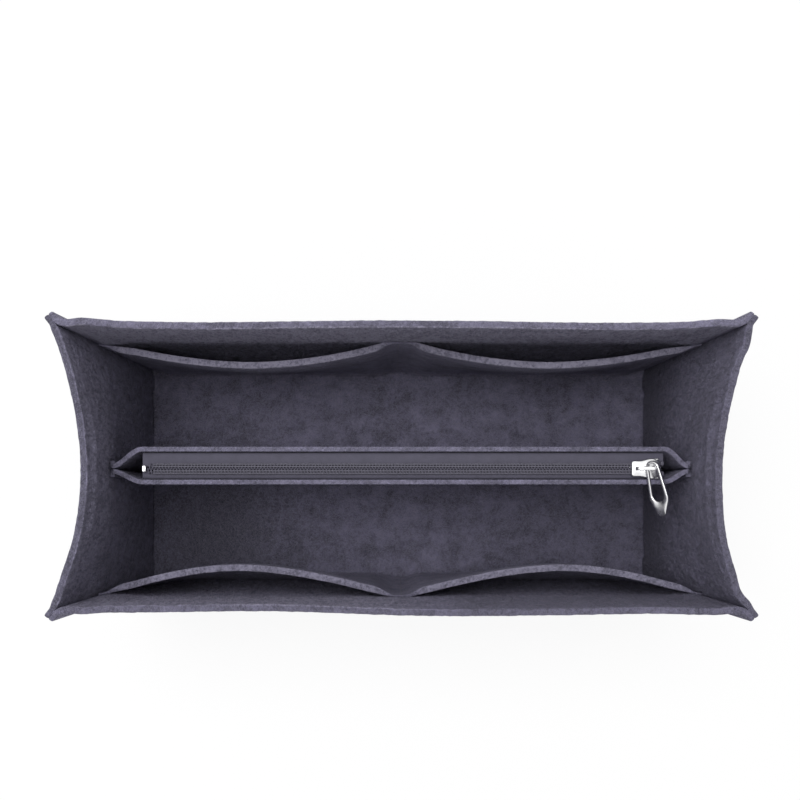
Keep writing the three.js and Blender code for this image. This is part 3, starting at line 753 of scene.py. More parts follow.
def rim_wander(scene, phases, pushes, axis, free_from, bulge=0, crease=0):
    """Waves and pushes of a free rim, a bulge below it and a soft crease: none at the corners."""
    long_wave, short_wave = 210 * MM, 97 * MM
    crease_depth, crease_width = 12 * MM, 3.5 * MM
    amount = scene.organizer_felt.wave

    def wander(path, z):
        along = path[:, axis]
        reach = np.abs(along).max()
        held = smoothstep(-np.abs(along), 12 * MM - reach, 52 * MM - reach)
        near = smoothstep(-np.abs(along), 3 * MM - reach, 14 * MM - reach)
        waves = np.sin(along * 2 * math.pi / long_wave + phases[0])
        waves = waves + 0.5 * np.sin(along * 2 * math.pi / short_wave + phases[1])
        free = amount * waves * smoothstep(z, free_from, RIM_Z)
        pushed = sum(out * np.exp(-((along - at) / width) ** 2)
                     for at, width, out in np.multiply(pushes, MM))
        pushed = near * pushed * smoothstep(z, free_from - 20 * MM, RIM_Z)
        fold = crease * math.exp(-((z - RIM_Z + crease_depth) / crease_width) ** 2)
        return held * (free - fold) + pushed + wall_bulge(along, z, bulge)

    return wander


# Felt panels

# How the rims are pushed off their plain lines, as in the photo, in millimetres: place along the
# rim, width, and how far out
FRONT_PUSHES = (38, 50, 1.1), (0, 250, 0.5), (-134, 10, 0.9), (126, 22, 1)
BACK_PUSHES = (-72, 28, -0.8), (60, 30, 0.4), (134, 14, 1.8), (-134, 14, 1.1)
RIGHT_PUSHES = (36, 20, 1.3), (56, 8, 2.6), (-36, 20, -1.3), (-56, 8, -2.6)
LEFT_PUSHES = (-28, 22, 0.9), (44, 12, 0.6)


def base_points(scene):
    """Middle surface of the base: a rectangle with rounded corners."""
    grain = scene.organizer_felt.grain
    radius = 8 * MM
    half = np.array([BASE_HIGH.x, BASE_HIGH.y])
    columns, rows = (np.linspace(-1, 1, round(2 * side / grain) + 1) * side for side in half)
    plan = np.stack(np.meshgrid(columns, rows), axis=2)
    straight = half - radius
    past = np.maximum(np.abs(plan) - straight, 0)
    far = np.maximum(np.linalg.norm(past, axis=2), 1e-9)
    round_off = np.minimum(np.maximum(past[..., 0], past[..., 1]) / far, 1)[..., None]
    inside = np.sign(plan) * (np.minimum(np.abs(plan), straight) + past * round_off)
    return np.concatenate([inside, np.full((*plan.shape[:2], 1), FELT / 2)], axis=2)


def both_panels(scene, path_at, axis, free_from, phases, pushes, **form):
    """Middle surfaces of a panel and of the one across from it, and the thickness left."""
    (first, left), (second, _) = (
        panel_points(scene, path_at, axis, rim_wander(scene, *given, axis, free_from, **form))
        for given in zip(phases, pushes))
    return first, half_turn(second), left


def wall_points(scene):
    """The front and the back wall, as both_panels gives them."""
    return both_panels(
        scene, wall_path, 0, STRIP_HIGH.z + 20 * MM, ((0.6, 1.9), (2.4, 0.3)),
        (FRONT_PUSHES, BACK_PUSHES), bulge=scene.organizer_felt.bulge)


def end_points(scene):
    """The right and the left end panel, as both_panels gives them."""
    return both_panels(
        scene, end_path, 1, POCKET_HIGH.z, ((1.2, 0.4), (0.2, 2.2)),
        (RIGHT_PUSHES, LEFT_PUSHES), crease=scene.organizer_felt.crease)


def strip_left(x):
    """How much of a pocket strip's thickness is left along its length: little at the seams."""
    sewn, free, least = 1.5 * MM, 11 * MM, 0.25
    pressed = np.minimum(np.abs(x) - sewn, np.abs(x).max() - sewn - np.abs(x))
    return least + (1 - least) * smoothstep(pressed, 0, free)


def strip_points(scene, bow, lean, seam):
    """Middle surface of the front pocket strip, and how much of the felt's thickness is left."""
    seams, felt = scene.organizer_seams, scene.organizer_felt
    open_from, height = STRIP_LOW.z + seams.flat_height, STRIP_HIGH.z - STRIP_LOW.z
    finer, clear_of_corner = 0.75, 1.2 * MM
    count = round(2 * STRIP_HIGH.x / (felt.grain * finer)) + 1
    rows = []
    for z in np.linspace(STRIP_LOW.z, STRIP_HIGH.z, round(height / felt.grain) + 1):
        half = corner_x(scene, z) - clear_of_corner
        x = np.linspace(-half, half, count)
        share = np.clip((np.abs(x) - seam) / (half - seam - seams.strip_seam), 0, 1) ** lean
        arch = 1 - np.abs(2 * share - 1) ** scene.organizer_box.arch_power
        left = strip_left(x)
        opened = max(0, (z - open_from) / (STRIP_HIGH.z - open_from))
        depth = bow * math.sin(opened * math.pi / 2)
        wall = wall_path(scene, z)
        behind = np.interp(x, wall[:, 0], wall[:, 1]) + STRIP_LOW.y + HALF_DEPTH
        flat = wall_bulge(x, z, felt.bulge) * (1 - arch * min(1, depth / bow))
        bare = depth * arch - flat
        rows.append(raised(moved_right(np.stack([x, behind + bare], axis=1), -FELT / 2 * left), z))
    return np.array(rows), np.broadcast_to(left, (len(rows), len(x)))


def both_strips(scene):
    """Middle surface and thickness left of the front and the back pocket strip."""
    seam = scene.organizer_seams.strip_seam
    front = strip_points(scene, STRIP_HIGH.y - STRIP_LOW.y - FELT, 1.12, seam)
    back, left = strip_points(
        scene, BACK_STRIP_HIGH.y - BACK_STRIP_LOW.y - FELT, 0.95, seam + 3 * MM)
    return front, (half_turn(back), left)


def pocket_path(scene, z, left, right, room):
    """The centre pocket's front panel, inner face, from its left margin to its right margin."""
    box, felt = scene.organizer_box, scene.organizer_felt
    full = room - POCKET_LOW.y - felt.pocket_felt
    flare = smoothstep(z, box.flare_from, box.flare_from + box.flare_height)
    half_gap = GAP / 2 + (full - GAP / 2) * flare
    margin_x = end_middle_x(scene, z) - GAP / 2
    seam = np.array([margin_x - box.pocket_turn, -GAP / 2])

    def end(straight_to):
        shoulder = np.array([straight_to, -half_gap])
        turned = np.array([margin_x, seam[1] - box.pocket_turn])
        soft_shoulder = shoulder + (box.pocket_shoulder, 0)
        return chain(
            cubic(shoulder, soft_shoulder, seam - (box.pocket_tip, 0), seam, 12),
            curve(seam, (margin_x, seam[1]), turned, 5),
            line(turned, turned - (0, box.pocket_margin), 2))

    left_end = (end(-left) * (-1, 1))[::-1]
    right_end = end(right)
    steps = round((right - left) / felt.grain)
    return chain(left_end, line(left_end[-1], right_end[0], steps), right_end)


def pocket_points(scene, left, right, room=0):
    """Middle surface of the front panel of the centre pocket, its margins clipped at the top."""
    felt, box = scene.organizer_felt, scene.organizer_box
    low, height, clipped = POCKET_LOW.z, POCKET_HIGH.z - POCKET_LOW.z, 7 * MM
    seam_x = end_middle_x(scene, POCKET_HIGH.z) - GAP / 2 - box.pocket_turn
    rows = []
    for share in np.linspace(0, 1, round(height / felt.grain) + 1):
        path = pocket_path(scene, low + height * share, left, right, room)
        plan = moved_right(path, felt.pocket_felt / 2)
        clip = clipped * smoothstep(np.abs(plan[:, 0]), seam_x, seam_x + box.pocket_turn)
        rows.append(raised(plan, low + (height - clip) * share))
    return np.array(rows)


def front_and_back(scene, points_of):
    """Middle surfaces of two pieces that lie along the zip, the back one further off it."""
    left, right = TAPE_LOW.x, TAPE_HIGH.x
    back = points_of(scene, -right, -left, scene.organizer_box.back_room)
    return {"front": points_of(scene, left, right), "back": half_turn(back)}


class ORGANIZER_OT_base(bpy.types.Operator):
    """Make the felt base"""

    bl_idname = "organizer.base"
    bl_label = "Base"

    def execute(self, context):
        # Painted spots on the floor: painted shade at the front left and front right, painted
        # light at the back.
        painted_light_and_shade_spots = (-100, -34, 44, 1.5), (80, -42, 40, 0.5), (10, 34, 60, -0.18)
        points = base_points(context.scene)
        felt_sheet(context.scene, "base_felt", points, "base_panel", "laid", ["floor"], painted_light_and_shade_spots=painted_light_and_shade_spots)
        return {"FINISHED"}


def standing_panels(scene, points, **panels):
    """Makes two panels that stand on the base, each with its node and its own looks."""
    *both, left = points
    for middle, (name, (node, looks)) in zip(both, panels.items()):
        felt_sheet(scene, name, middle, node, "stretched", ["base_felt"], left=left,
                   tuft=scene.organizer_felt.tuft, **looks)


class ORGANIZER_OT_walls(bpy.types.Operator):
    """Make the front and back walls, with their seam margins"""

    bl_idname = "organizer.walls"
    bl_label = "Long walls"

    def execute(self, context):
        standing_panels(
            context.scene, wall_points(context.scene),
            # Painted shade on the front rim and on the right of the front wall's upper inner face,
            # painted light on its left; the back wall has paler raw edges and painted light on its
            # upper inner face.
            front_wall_felt=("front_wall", {"edge": -0.45, "top": (1.4, -0.95)}),
            back_wall_felt=("back_wall", {"edge": 0.3, "top": (2.6, 2)}))
        return {"FINISHED"}


class ORGANIZER_OT_ends(bpy.types.Operator):
    """Make the two end panels, bowed inwards"""

    bl_idname = "organizer.ends"
    bl_label = "End panels"

    def execute(self, context):
        standing_panels(
            context.scene, end_points(context.scene),
            # Painted shade on both end rims, on the right end's upper inner face and on the low
            # inner faces; painted light on the left end's upper inner face.
            right_end_felt=("right_end_panel", {"edge": -1, "top": (-0.5, -0.5), "foot": 1.6}),
            left_end_felt=("left_end_panel", {"edge": -0.95, "top": (0.8, 0.8), "foot": 0.3}))
        return {"FINISHED"}


class ORGANIZER_OT_pocket_strips(bpy.types.Operator):
    """Make the two bowed pocket strips inside the long walls"""

    bl_idname = "organizer.pocket_strips"
    bl_label = "Pocket strips"

    def execute(self, context):
        strips = both_strips(context.scene)
        # Paler raw edges, more so on the back strip: cut fibres with a painted highlight.
        for side, pale, (points, left) in zip(("front", "back"), (1.5, 2.6), strips):
            felt_sheet(context.scene, f"{side}_strip_felt", points, f"{side}_pocket_strip", "hung",
                       [f"{side}_wall_felt"], left=left, edge=pale * left ** 2)
        return {"FINISHED"}


class ORGANIZER_OT_centre_pocket(bpy.types.Operator):
    """Make the two felt panels of the zipped centre pocket"""

    bl_idname = "organizer.centre_pocket"
    bl_label = "Centre pocket"

    def execute(self, context):
        thick = context.scene.organizer_felt.pocket_felt
        # Paler raw edges: cut fibres with a painted highlight.
        pale = {"front": 0.35, "back": 0.45}
        for side, points in front_and_back(context.scene, pocket_points).items():
            felt_sheet(context.scene, f"pocket_{side}_felt", points, f"zip_pocket_{side}_panel",
                       "hung", ["left_end_felt", "right_end_felt"], thick, edge=pale[side])
        return {"FINISHED"}


# Zip

TAPE_Z = TAPE_HIGH.z - 0.3 * MM  # middle of the tapes' thickness


def tape_points(scene, left, right, room=0):
    """Middle surface of the front tape: flat under the chain, then down inside the felt."""
    zip_set = scene.organizer_zip
    leg = room - TAPE_LOW.y - zip_set.tape / 2
    bend = zip_set.tape_bend
    section = chain(
        line((-TAPE_HIGH.y, TAPE_Z), (leg - bend, TAPE_Z), 4),
        curve((leg - bend, TAPE_Z), (leg, TAPE_Z), (leg, TAPE_Z - bend), 4),
        line((leg, TAPE_Z - bend), (leg, TAPE_LOW.z), 5))
    x = np.linspace(left, right, 116)
    return np.array([np.stack(np.broadcast_arrays(x, -y, z), axis=1) for y, z in section])


def real_size_uv(piece, width, height):
    """Scales the grid's own UV map to millimetres."""
    layer = piece.data.uv_layers.active
    places = np.zeros(len(layer.uv) * 2, np.float32)
    layer.uv.foreach_get("vector", places)
    places = places.reshape(-1, 2) * (width / MM, height / MM)
    layer.uv.foreach_set("vector", places.astype(np.float32).ravel())


class ORGANIZER_OT_zip_tapes(bpy.types.Operator):
    """Make the two woven zip tapes"""

    bl_idname = "organizer.zip_tapes"
    bl_label = "Zip tapes"

    def execute(self, context):
        scene = context.scene
        for side, points in front_and_back(scene, tape_points).items():
            piece = grid_piece(f"zip_tape_{side}_woven", points)
            flat = flat_size(points)
            real_size_uv(piece, *flat)
            apply_modifier(piece, "SOLIDIFY", thickness=scene.organizer_zip.tape, offset=0,
                           use_even_offset=True)
            in_edit_mode(piece, face_outward)
            finish_piece(scene, piece, 50, "woven_tape", "organizer",
                         f"zip_tape_{side}")
        return {"FINISHED"}


def parted(scene, x):
    """How far each coil row has moved aside at a place, to pass the slider's post."""
    closed, open_wide = SLIDER_X - 3 * MM, SLIDER_X + 2.6 * MM
    return scene.organizer_zip.spread * smoothstep(x, closed, open_wide)


def coil_line(scene, side):
    """Middle line of a coil's filament: long flat turns, the two rows half a turn apart."""
    zip_set = scene.organizer_zip
    wire = zip_set.filament / 2
    turns = int((COIL_HIGH.x - COIL_LOW.x) / zip_set.pitch) - 1
    outer = -COIL_LOW.y - wire - zip_set.spread
    inner = zip_set.overlap - wire
    low, high = COIL_LOW.z + wire, COIL_HIGH.z - wire
    turn = np.linspace(0, 2 * math.pi * turns, 12 * turns + 1)
    start = COIL_LOW.x + wire + (0 if side < 0 else zip_set.pitch / 2)
    x = start + zip_set.pitch * turn / (2 * math.pi)
    reach = squared(np.cos(turn), 0.7)
    y = (inner - outer) / 2 + (inner + outer) / 2 * reach
    z = (low + high) / 2 + (high - low) / 2 * np.sin(turn)
    return np.stack([x, side * (parted(scene, x) - y), z], axis=1)


def coil_thread(scene, side, out):
    """Middle line of a thread that sews a coil down: over each turn and a little down between."""
    pitch = scene.organizer_zip.pitch
    x = np.arange(COIL_LOW.x + 2 * pitch, COIL_HIGH.x - 2 * pitch, pitch / 4)
    depth, sunk = 0.14 * MM, 0.2 * MM
    dip = depth * np.sin(math.pi * (x - COIL_LOW.x) / pitch) ** 2
    return np.stack([x, side * (parted(scene, x) + out), COIL_HIGH.z - sunk - dip], axis=1)


def wire_piece(name, points, radius):
    """A round wire along points, made a mesh from a curve."""
    data = bpy.data.curves.new(name, "CURVE")
    data.dimensions = "3D"
    data.bevel_depth = radius
    data.bevel_resolution = 1
    data.use_fill_caps = True
    spline = data.splines.new("POLY")
    spline.points.add(len(points) - 1)
    spline.points.foreach_set("co", np.column_stack([points, np.ones(len(points))]).ravel())
    piece = bpy.data.objects.new(name, data)
    bpy.context.scene.collection.objects.link(piece)
    pick(piece)
    bpy.ops.object.convert(target="MESH")
    return bpy.context.object


def join_pieces(name, pieces):
    pick(*pieces)
    bpy.ops.object.join()
    pieces[0].name = pieces[0].data.name = name
    return pieces[0]


class ORGANIZER_OT_zip_coils(bpy.types.Operator):
    """Make the two wound coil rows of the zip, and the threads that sew them down"""

    bl_idname = "organizer.zip_coils"
    bl_label = "Zip coils"

    def execute(self, context):
        scene = context.scene
        radius, thread_radius = scene.organizer_zip.filament / 2, 0.3 * MM
        for side, sign in (("front", -1), ("back", 1)):
            piece = wire_piece(f"zip_coil_{side}_wound", coil_line(scene, sign), radius)
            finish_piece(scene, piece, 80, "nylon_coil", "organizer",
                         f"zip_coil_{side}")
            rows = [wire_piece(f"{side}_coil_thread", coil_thread(scene, sign, out), thread_radius)
                    for out in (0.95 * MM, 2 * MM)]
            thread = join_pieces(f"zip_coil_{side}_thread", rows)
            finish_piece(scene, thread, 80, "woven_tape_thread", "organizer")
        return {"FINISHED"}


class ORGANIZER_OT_stops(bpy.types.Operator):
    """Make the bottom stop, a bright clip, and the two moulded top stops"""

    bl_idname = "organizer.stops"
    bl_label = "Stops"

    def execute(self, context):
        clip_shape = Vector((1.2, 0.75, 1))
        for node in ("bottom_stop", "top_stop_front", "top_stop_back"):
            low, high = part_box(node)
            bpy.ops.mesh.primitive_cube_add(size=1, location=(low + high) / 2)
            piece = bpy.context.object
            piece.name = f"{node}_clip"
            bright = node == "bottom_stop"
            size = high - low
            bpy.ops.transform.resize(value=size * clip_shape if bright else size)
            bpy.ops.object.transform_apply(location=True, rotation=True, scale=True)
            apply_modifier(piece, "BEVEL", width=0.55 * MM, segments=5, limit_method="NONE")
            looks = ("plated_metal", "zip_metal") if bright else ("nylon_coil", "zip_coil")
            finish_piece(context.scene, piece, 30, looks[0], "organizer", node)
        return {"FINISHED"}


def rounded_section(half_width, half_height, count=16, power=0.5):
    """A closed section: a rectangle with well rounded corners."""
    turn = np.linspace(0, 2 * math.pi, count + 1)
    waves = np.stack([np.cos(turn), np.sin(turn)], axis=1)
    return squared(waves, power) * (half_width, half_height)


def slider_outline(tail_half, shoulder_half, nose_half):
    """A slider plate seen from above, about the slider's middle: narrow tail, wide shoulders."""
    half = (SLIDER_HIGH.x - SLIDER_LOW.x) / 2
    tail_end, shoulder, nose = -2.6 * MM, 2.4 * MM, half - 3.2 * MM
    tail_radius, nose_radius = 0.7 * MM, 0.9 * MM
    x = -half * np.cos(np.linspace(0, math.pi, 20))
    width = tail_half + (shoulder_half - tail_half) * smoothstep(x, tail_end, shoulder)
    width = width - (shoulder_half - nose_half) * smoothstep(x, nose, half)
    tail_round = np.clip((x + half) / tail_radius, 0, 1) ** 0.5
    nose_round = np.clip((half - x) / nose_radius, 0, 1) ** 0.5
    width = width * (0.72 + 0.28 * np.minimum(tail_round, nose_round))
    side = np.stack([x, width], axis=1)
    return np.concatenate([side, (side * (1, -1))[::-1]])


def plate_piece(name, outline, bottom, top, dome):
    """A plate: an outline filled, raised, inset and domed with edit-mode operators."""
    bpy.ops.mesh.primitive_circle_add(vertices=len(outline), radius=1, fill_type="NGON")
    piece = bpy.context.object
    piece.name = name
    move_vertices(piece, raised(outline, bottom))
    lift = {"value": (0, 0, top - bottom)}
    in_edit_mode(
        piece,
        lambda: bpy.ops.mesh.extrude_region_move(TRANSFORM_OT_translate=lift),
        lambda: bpy.ops.mesh.inset(thickness=0.45 * MM),
        lambda: bpy.ops.transform.translate(value=(0, 0, dome)),
        face_outward)
    return piece


def tube_piece(name, rings):
    """A grid rolled into a closed tube: columns run round the section."""
    piece = grid_piece(name, np.array(rings))
    in_edit_mode(piece, merge_and_close)
    return piece


def slider_wall(name, sign, inner_tail, inner_mouth, wall, bottom, top):
    """One side wall of the slider, bent with the way through it."""
    half = (SLIDER_HIGH.x - SLIDER_LOW.x) / 2 - 0.5 * MM
    x = np.linspace(-half, half, 24)
    y = inner_tail + (inner_mouth - inner_tail) * smoothstep(x, -2.4 * MM, 2.2 * MM) + wall / 2
    across, up = rounded_section(wall / 2, (top - bottom) / 2, 12).T
    z = (top + bottom) / 2 + up
    return tube_piece(name, [
        np.stack(np.broadcast_arrays(place, sign * (out + across), z), axis=1)
        for place, out in zip(x, y)])


def bridge_bar(name, back, front, foot, top):
    """The bar that carries the pull: up from the tail, along, and down to the nose."""
    corner = 2.2 * MM
    centre = chain(
        line((back, foot), (back, top - corner), 4),
        curve((back, top - corner), (back, top), (back + corner, top), 8),
        line((back + corner, top), (front - corner, top), 6),
        curve((front - corner, top), (front, top), (front, top - corner), 8),
        line((front, top - corner), (front, foot), 4))
    across, up = rounded_section(0.9 * MM, 0.52 * MM, 16, 0.6).T
    rings = []
    for place, (ahead, rising) in zip(centre, directions(centre)):
        x, z = place[0] - up * rising, place[1] + up * ahead
        rings.append(np.stack([x, across, z], axis=1))
    return tube_piece(name, rings)


class ORGANIZER_OT_slider(bpy.types.Operator):
    """Make the zip slider: two plates, side walls, post and bridge"""

    bl_idname = "organizer.slider"
    bl_label = "Slider"

    def execute(self, context):
        scene = context.scene
        wall, tail = 0.7 * MM, 2.75 * MM
        mouth = tail + scene.organizer_zip.spread
        side = tail, mouth, wall, 0.65 * MM, 3.15 * MM
        post_x, post_heights = 4.1 * MM, np.linspace(-0.9 * MM, 3.1 * MM, 4)
        post = rounded_section(1.3 * MM, 0.5 * MM, 12, 0.8) + (post_x, 0)
        piece = join_pieces("slider_body", [
            plate_piece("upper_plate", slider_outline(tail + wall, mouth + wall, 3.4 * MM),
                        2.75 * MM, 3.6 * MM, 0.35 * MM),
            plate_piece("lower_plate", slider_outline(tail, 3.5 * MM, 2.8 * MM),
                        -0.65 * MM, -1.4 * MM, -0.25 * MM),
            slider_wall("front_side", -1, *side),
            slider_wall("back_side", 1, *side),
            tube_piece("post", [raised(post, z) for z in post_heights]),
            bridge_bar("bridge", -4.5 * MM, 5.4 * MM, 3.4 * MM, PULL_PIVOT.z - TAPE_Z)])
        apply_modifier(piece, "BEVEL", width=0.16 * MM, segments=3, limit_method="ANGLE",
                       angle_limit=math.radians(40))
        piece.data.transform(Matrix.Translation((SLIDER_X, 0, TAPE_Z)))
        finish_piece(scene, piece, 50, "plated_metal", "slider", "zip_slider")
        return {"FINISHED"}


def arc(y, radius, start, end, steps):
    turn = np.linspace(start, end, steps + 1)
    return np.stack([radius * np.cos(turn), y + radius * np.sin(turn)], axis=1)


def tight_round(circles, turns, runs):
    """A closed edge pulled tight round circles down -Y, each a height and a radius."""
    leans = [math.asin((below[1] - above[1]) / (above[0] - below[0]))
             for above, below in zip(circles, circles[1:])]
    ends = [math.pi / 2, *(math.pi - lean for lean in leans), 1.5 * math.pi]
    arcs = [arc(*circle, *turn, steps)
            for circle, turn, steps in zip(circles, zip(ends, ends[1:]), turns)]
    parts = arcs[:1]
    for before, after, steps in zip(arcs, arcs[1:], runs):
        parts += [line(before[-1], after[0], steps), after]
    left = chain(*parts)
    return chain(left, (left * (-1, 1))[::-1])


class ORGANIZER_OT_pull(bpy.types.Operator):
    """Make the pull: a bright loop with a solid tip, hanging on the slider's bar"""

    bl_idname = "organizer.pull"
    bl_label = "Pull"

    def execute(self, context):
        zip_set = context.scene.organizer_zip
        reach, eye, wire, thick = zip_set.pull_length, 2.085 * MM, 1.3 * MM, 1.4 * MM
        belly, side, tip, solid = zip_set.pull_width / 2, 1.6 * MM, 2.2 * MM, 7 * MM
        window, widest_at, swells_from, swells_to = belly - side, -13 * MM, 14.5 * MM, 19 * MM
        outer = tight_round(
            ((0, eye + wire), (widest_at, belly), (tip - reach, tip)), (12, 10, 10), (20, 8))
        inner = tight_round(((0, eye), (solid + window - reach, window)), (12, 28), (20,))
        section = rounded_section(0.5, thick / 2, 24, 0.62)
        rings = []
        for near, far in zip(inner, outer):
            plan = near + (section[:, :1] + 0.5) * (far - near)
            swell = 1 + 0.6 * smoothstep(-plan[:, 1], swells_from, swells_to)
            rings.append(raised(plan, section[:, 1] * swell))
        piece = tube_piece("pull_loop", rings)
        turn = Euler((zip_set.pull_slope, 0, 0)).to_matrix()
        lean = Euler((0, -zip_set.pull_twist, 0)).to_matrix()
        skew = Euler((0, 0, zip_set.pull_skew)).to_matrix()
        piece.data.transform(Matrix.Translation(PULL_PIVOT) @ (skew @ turn @ lean).to_4x4())
        finish_piece(context.scene, piece, 60, "plated_metal", "pull", "pull_tab")
        return {"FINISHED"}


# Stitching

SKIN = 0.02 * MM  # how far the middle of a stitch stands off the felt


def stitch_shape(seams):
    """One stitch along X: a short thread whose ends dip into the felt."""
    bpy.ops.mesh.primitive_uv_sphere_add(segments=6, ring_count=6, radius=0.5)
    piece = bpy.context.object
    turn = Matrix.Rotation(math.pi / 2, 4, "Y")
    piece.data.transform(Matrix.Diagonal((seams.stitch, seams.thread, seams.thread, 1)) @ turn)
    places = np.array([v.co for v in piece.data.vertices])
    dip = 0.35 * seams.thread
    places[:, 2] -= dip * (2 * np.abs(places[:, 0]) / seams.stitch) ** 2
    faces = [list(face.vertices) for face in piece.data.polygons]
    bpy.ops.object.delete()
    return places, faces


def read_off(at, reach, rows):
    """Rows of values along a path, read off at other places."""
    return np.stack([np.interp(at, reach, values) for values in rows.T], axis=1)


def unit(vector):
    return vector / np.linalg.norm(vector)


def stitched_rows(scene, name, rows):
    """One piece of many stitches: each row is a line of points and the way it faces."""
    seams = scene.organizer_seams
    shape, faces = stitch_shape(seams)
    places, polygons = [], []
    for path, facing in rows:
        reach = reach_along(path)
        count = max(1, int(reach[-1] / seams.pitch))
        at = (np.arange(count) + 0.5) * reach[-1] / count
        spots = read_off(at, reach, path)
        nexts = read_off(at + 0.2 * seams.pitch, reach, path)
        ups = read_off(at, reach, np.broadcast_to(facing, path.shape))
        for spot, following, up in zip(spots, nexts, ups):
            along = unit(following - spot)
            across = unit(np.cross(up, along))
            start = len(places) * len(shape)
            places.append(spot + shape @ np.stack([along, across, np.cross(along, across)]))
            polygons.extend([start + i for i in face] for face in faces)
    mesh = bpy.data.meshes.new(name)
    mesh.from_pydata(np.concatenate(places).tolist(), [], polygons)
    piece = bpy.data.objects.new(name, mesh)
    scene.collection.objects.link(piece)
    finish_piece(scene, piece, 180, "sewing_thread", "organizer")


def surface_row(points, offset, span, column=None, row=None):
    """A line on a sheet's face, along part of a column or of a row of its middle surface."""
    normal = np.cross(np.gradient(points, axis=1), np.gradient(points, axis=0))
    normal /= np.linalg.norm(normal, axis=2)[..., None]
    part = (slice(*span), column) if row is None else (row, slice(*span))
    away = np.broadcast_to(offset, points.shape[:2])[part][:, None]
    return points[part] + normal[part] * away, normal[part] * np.sign(away)


def corner_rows(scene, panels):
    """Seams of the corner margins, on every panel."""
    face = FELT / 2 * scene.organizer_seams.corner_press + SKIN
    return [surface_row(points, face, (4, -2), column=column)
            for points in panels for column in (3, points.shape[1] - 4)]


def base_rows(scene):
    """Seams round the base, on top of the panels' margins and underneath."""
    seams, end = scene.organizer_seams, 12 * MM
    margin = FELT / 2 + seams.base_margin * 0.45
    long_x, long_y = STRIP_HIGH.x - end, WALL_Y + FELT / 2 + margin
    side_x = STRIP_HIGH.x + seams.strip_inset + GAP / 2 + FELT / 2 + margin
    side_y = HALF_DEPTH - end
    plans = ((-long_x, -long_y), (long_x, -long_y)), ((side_x, -side_y), (side_x, side_y))
    faces = (SEAM_Z + FELT + SKIN, 1), (0.12 * MM, -1)
    rows = [(raised(plan, z), (0, 0, way)) for z, way in faces for plan in plans]
    return rows + [(half_turn(path), facing) for path, facing in rows]


def strip_rows(scene, strip, left, wall):
    """Seams of a pocket strip, inside on the strip and outside on its wall."""
    foot = round(scene.organizer_seams.flat_height / 2 / scene.organizer_felt.grain)
    inside, outside = -FELT / 2 * left - SKIN, FELT / 2 + SKIN
    rows = [surface_row(strip, inside, (3, -3), row=foot)]
    low = nearest(wall[:, 40, 2], strip[foot, 0, 2])
    high = nearest(wall[:, 40, 2], STRIP_HIGH.z) - 1
    first, last = (nearest(wall[low, :, 0], x) for x in strip[foot, (3, -4), 0])
    rows.append(surface_row(wall, outside, (first, last), row=low))
    for column in (3, strip.shape[1] // 2, strip.shape[1] - 4):
        rows.append(surface_row(strip, inside, (foot + 1, -1), column=column))
        behind = nearest(wall[low, :, 0], strip[foot, column, 0])
        rows.append(surface_row(wall, outside, (low + 1, high), column=behind))
    return rows


def zip_rows(scene):
    """Seams of the centre pocket: along the zip, along its bottom and at its ends."""
    grain, face = scene.organizer_felt.grain, scene.organizer_felt.pocket_felt / 2 + SKIN
    bottom = round((scene.organizer_box.flare_from - POCKET_LOW.z) / grain) - 2
    below_edge, rows = 3.4 * MM, []
    for pocket in front_and_back(scene, pocket_points).values():
        top = pocket.shape[0] - 1 - round(below_edge / grain)
        rows.append(surface_row(pocket, face, (16, -16), row=top))
        rows.append(surface_row(pocket, face, (9, -9), row=bottom))
        for column in (10, pocket.shape[1] - 11):
            rows.append(surface_row(pocket, face, (2, -1), column=column))
    return rows


class ORGANIZER_OT_stitching(bpy.types.Operator):
    """Sew the seams: corners, base, pockets and zip"""

    bl_idname = "organizer.stitching"
    bl_label = "Stitching"

    def execute(self, context):
        scene = context.scene
        walls = wall_points(scene)[:2]
        front, back = (strip_rows(scene, *strip, wall)
                       for strip, wall in zip(both_strips(scene), walls))
        panels = (*walls, *end_points(scene)[:2])
        stitched_rows(scene, "corner_stitching", corner_rows(scene, panels))
        stitched_rows(scene, "base_stitching", base_rows(scene))
        stitched_rows(scene, "pocket_stitching", front + back)
        stitched_rows(scene, "zip_pocket_stitching", zip_rows(scene))
        return {"FINISHED"}


# Stage

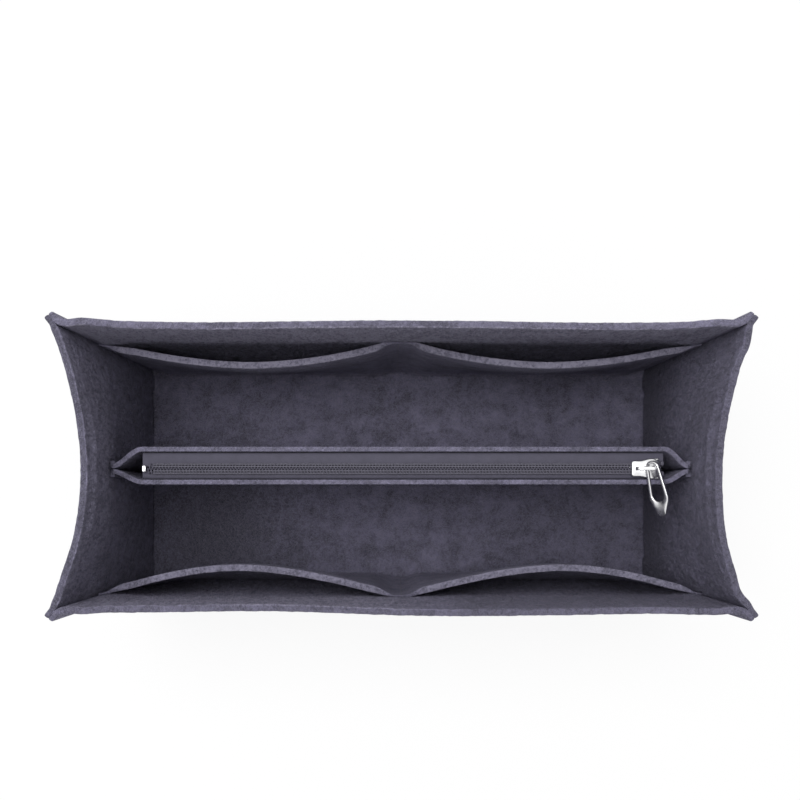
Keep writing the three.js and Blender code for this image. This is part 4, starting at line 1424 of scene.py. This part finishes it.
class ORGANIZER_OT_stage(bpy.types.Operator):
    """Set the floor, the light and the camera"""

    bl_idname = "organizer.stage"
    bl_label = "Stage"

    def execute(self, context):
        stage = context.scene.organizer_stage
        bpy.ops.mesh.primitive_plane_add(size=8, location=(0, 0, 0))
        floor = bpy.context.object
        floor.name = "floor"
        material = bpy.data.materials.new("backdrop")
        nodes = Nodes(material)
        diffuse = nodes.node("ShaderNodeBsdfDiffuse", None, {"Color": colour4(stage.backdrop)})
        glow = nodes.node("ShaderNodeEmission", None, {"Color": WHITE, "Strength": 1})
        seen = nodes.ray("Camera") + nodes.ray("Glossy") + nodes.ray("Transmission")
        shown = seen.clamped() * stage.glow
        nodes.finish(nodes.node("ShaderNodeMixShader", None, {0: shown, 1: diffuse, 2: glow}))
        floor.data.materials.append(material)
        self.light(context.scene)
        self.camera(context.scene)
        return {"FINISHED"}

    def light(self, scene):
        stage = scene.organizer_stage
        scene.world = bpy.data.worlds.new("studio")
        nodes = Nodes(scene.world)
        seen = (nodes.ray("Camera") + nodes.ray("Glossy")).clamped()
        strength = stage.fill + seen * (1 - stage.fill)
        sky = nodes.node("ShaderNodeBackground", None, {"Color": WHITE, "Strength": strength})
        nodes.node("ShaderNodeOutputWorld", None, {"Surface": sky})
        bpy.ops.object.light_add(type="AREA", location=stage.key_place)
        key = bpy.context.object
        key.name = "key_light"
        key.data.shape = "DISK"
        key.data.size = stage.key_size
        key.data.energy = stage.key
        aim = Vector((0, 0, RIM_Z / 2)) - key.location
        key.rotation_euler = aim.to_track_quat("-Z", "Y").to_euler()

    def camera(self, scene):
        stage = scene.organizer_stage
        bpy.ops.object.camera_add(location=(*stage.offset, stage.height), rotation=(0, 0, 0))
        scene.camera = bpy.context.object
        lens = scene.camera.data
        lens.lens = stage.lens
        lens.sensor_width = 36
        lens.shift_x, lens.shift_y = stage.shift
        lens.clip_start = 0.01
        scene.view_settings.view_transform = "Standard"


class ORGANIZER_PT_panel(bpy.types.Panel):
    """Lists the organizer's makers and settings"""

    bl_idname = "ORGANIZER_PT_panel"
    bl_label = "Purse organizer"
    bl_space_type = "VIEW_3D"
    bl_region_type = "UI"
    bl_category = "Organizer"

    def draw(self, context):
        for maker in OPERATORS:
            self.layout.operator(maker.bl_idname)
        for name, group in SETTINGS.items():
            column = self.layout.column(align=True)
            column.label(text=group.__doc__)
            for field in group.__annotations__:
                column.prop(getattr(context.scene, name), field)


SETTINGS = {
    "organizer_felt": FeltSettings,
    "organizer_seams": SeamSettings,
    "organizer_box": BoxSettings,
    "organizer_zip": ZipSettings,
    "organizer_stage": StageSettings,
}
OPERATORS = (
    ORGANIZER_OT_stage,
    ORGANIZER_OT_base,
    ORGANIZER_OT_walls,
    ORGANIZER_OT_ends,
    ORGANIZER_OT_pocket_strips,
    ORGANIZER_OT_centre_pocket,
    ORGANIZER_OT_zip_tapes,
    ORGANIZER_OT_zip_coils,
    ORGANIZER_OT_stops,
    ORGANIZER_OT_slider,
    ORGANIZER_OT_pull,
    ORGANIZER_OT_stitching,
)


def register():
    for made in (*SETTINGS.values(), *OPERATORS, ORGANIZER_PT_panel):
        bpy.utils.register_class(made)
    for name, group in SETTINGS.items():
        setattr(bpy.types.Scene, name, PointerProperty(type=group))


def unregister():
    for name in SETTINGS:
        delattr(bpy.types.Scene, name)
    for made in reversed((*SETTINGS.values(), *OPERATORS, ORGANIZER_PT_panel)):
        bpy.utils.unregister_class(made)


def main():
    register()
    for maker in OPERATORS:
        group, action = maker.bl_idname.split(".")
        getattr(getattr(bpy.ops, group), action)()


if __name__ == "__main__":
    main()
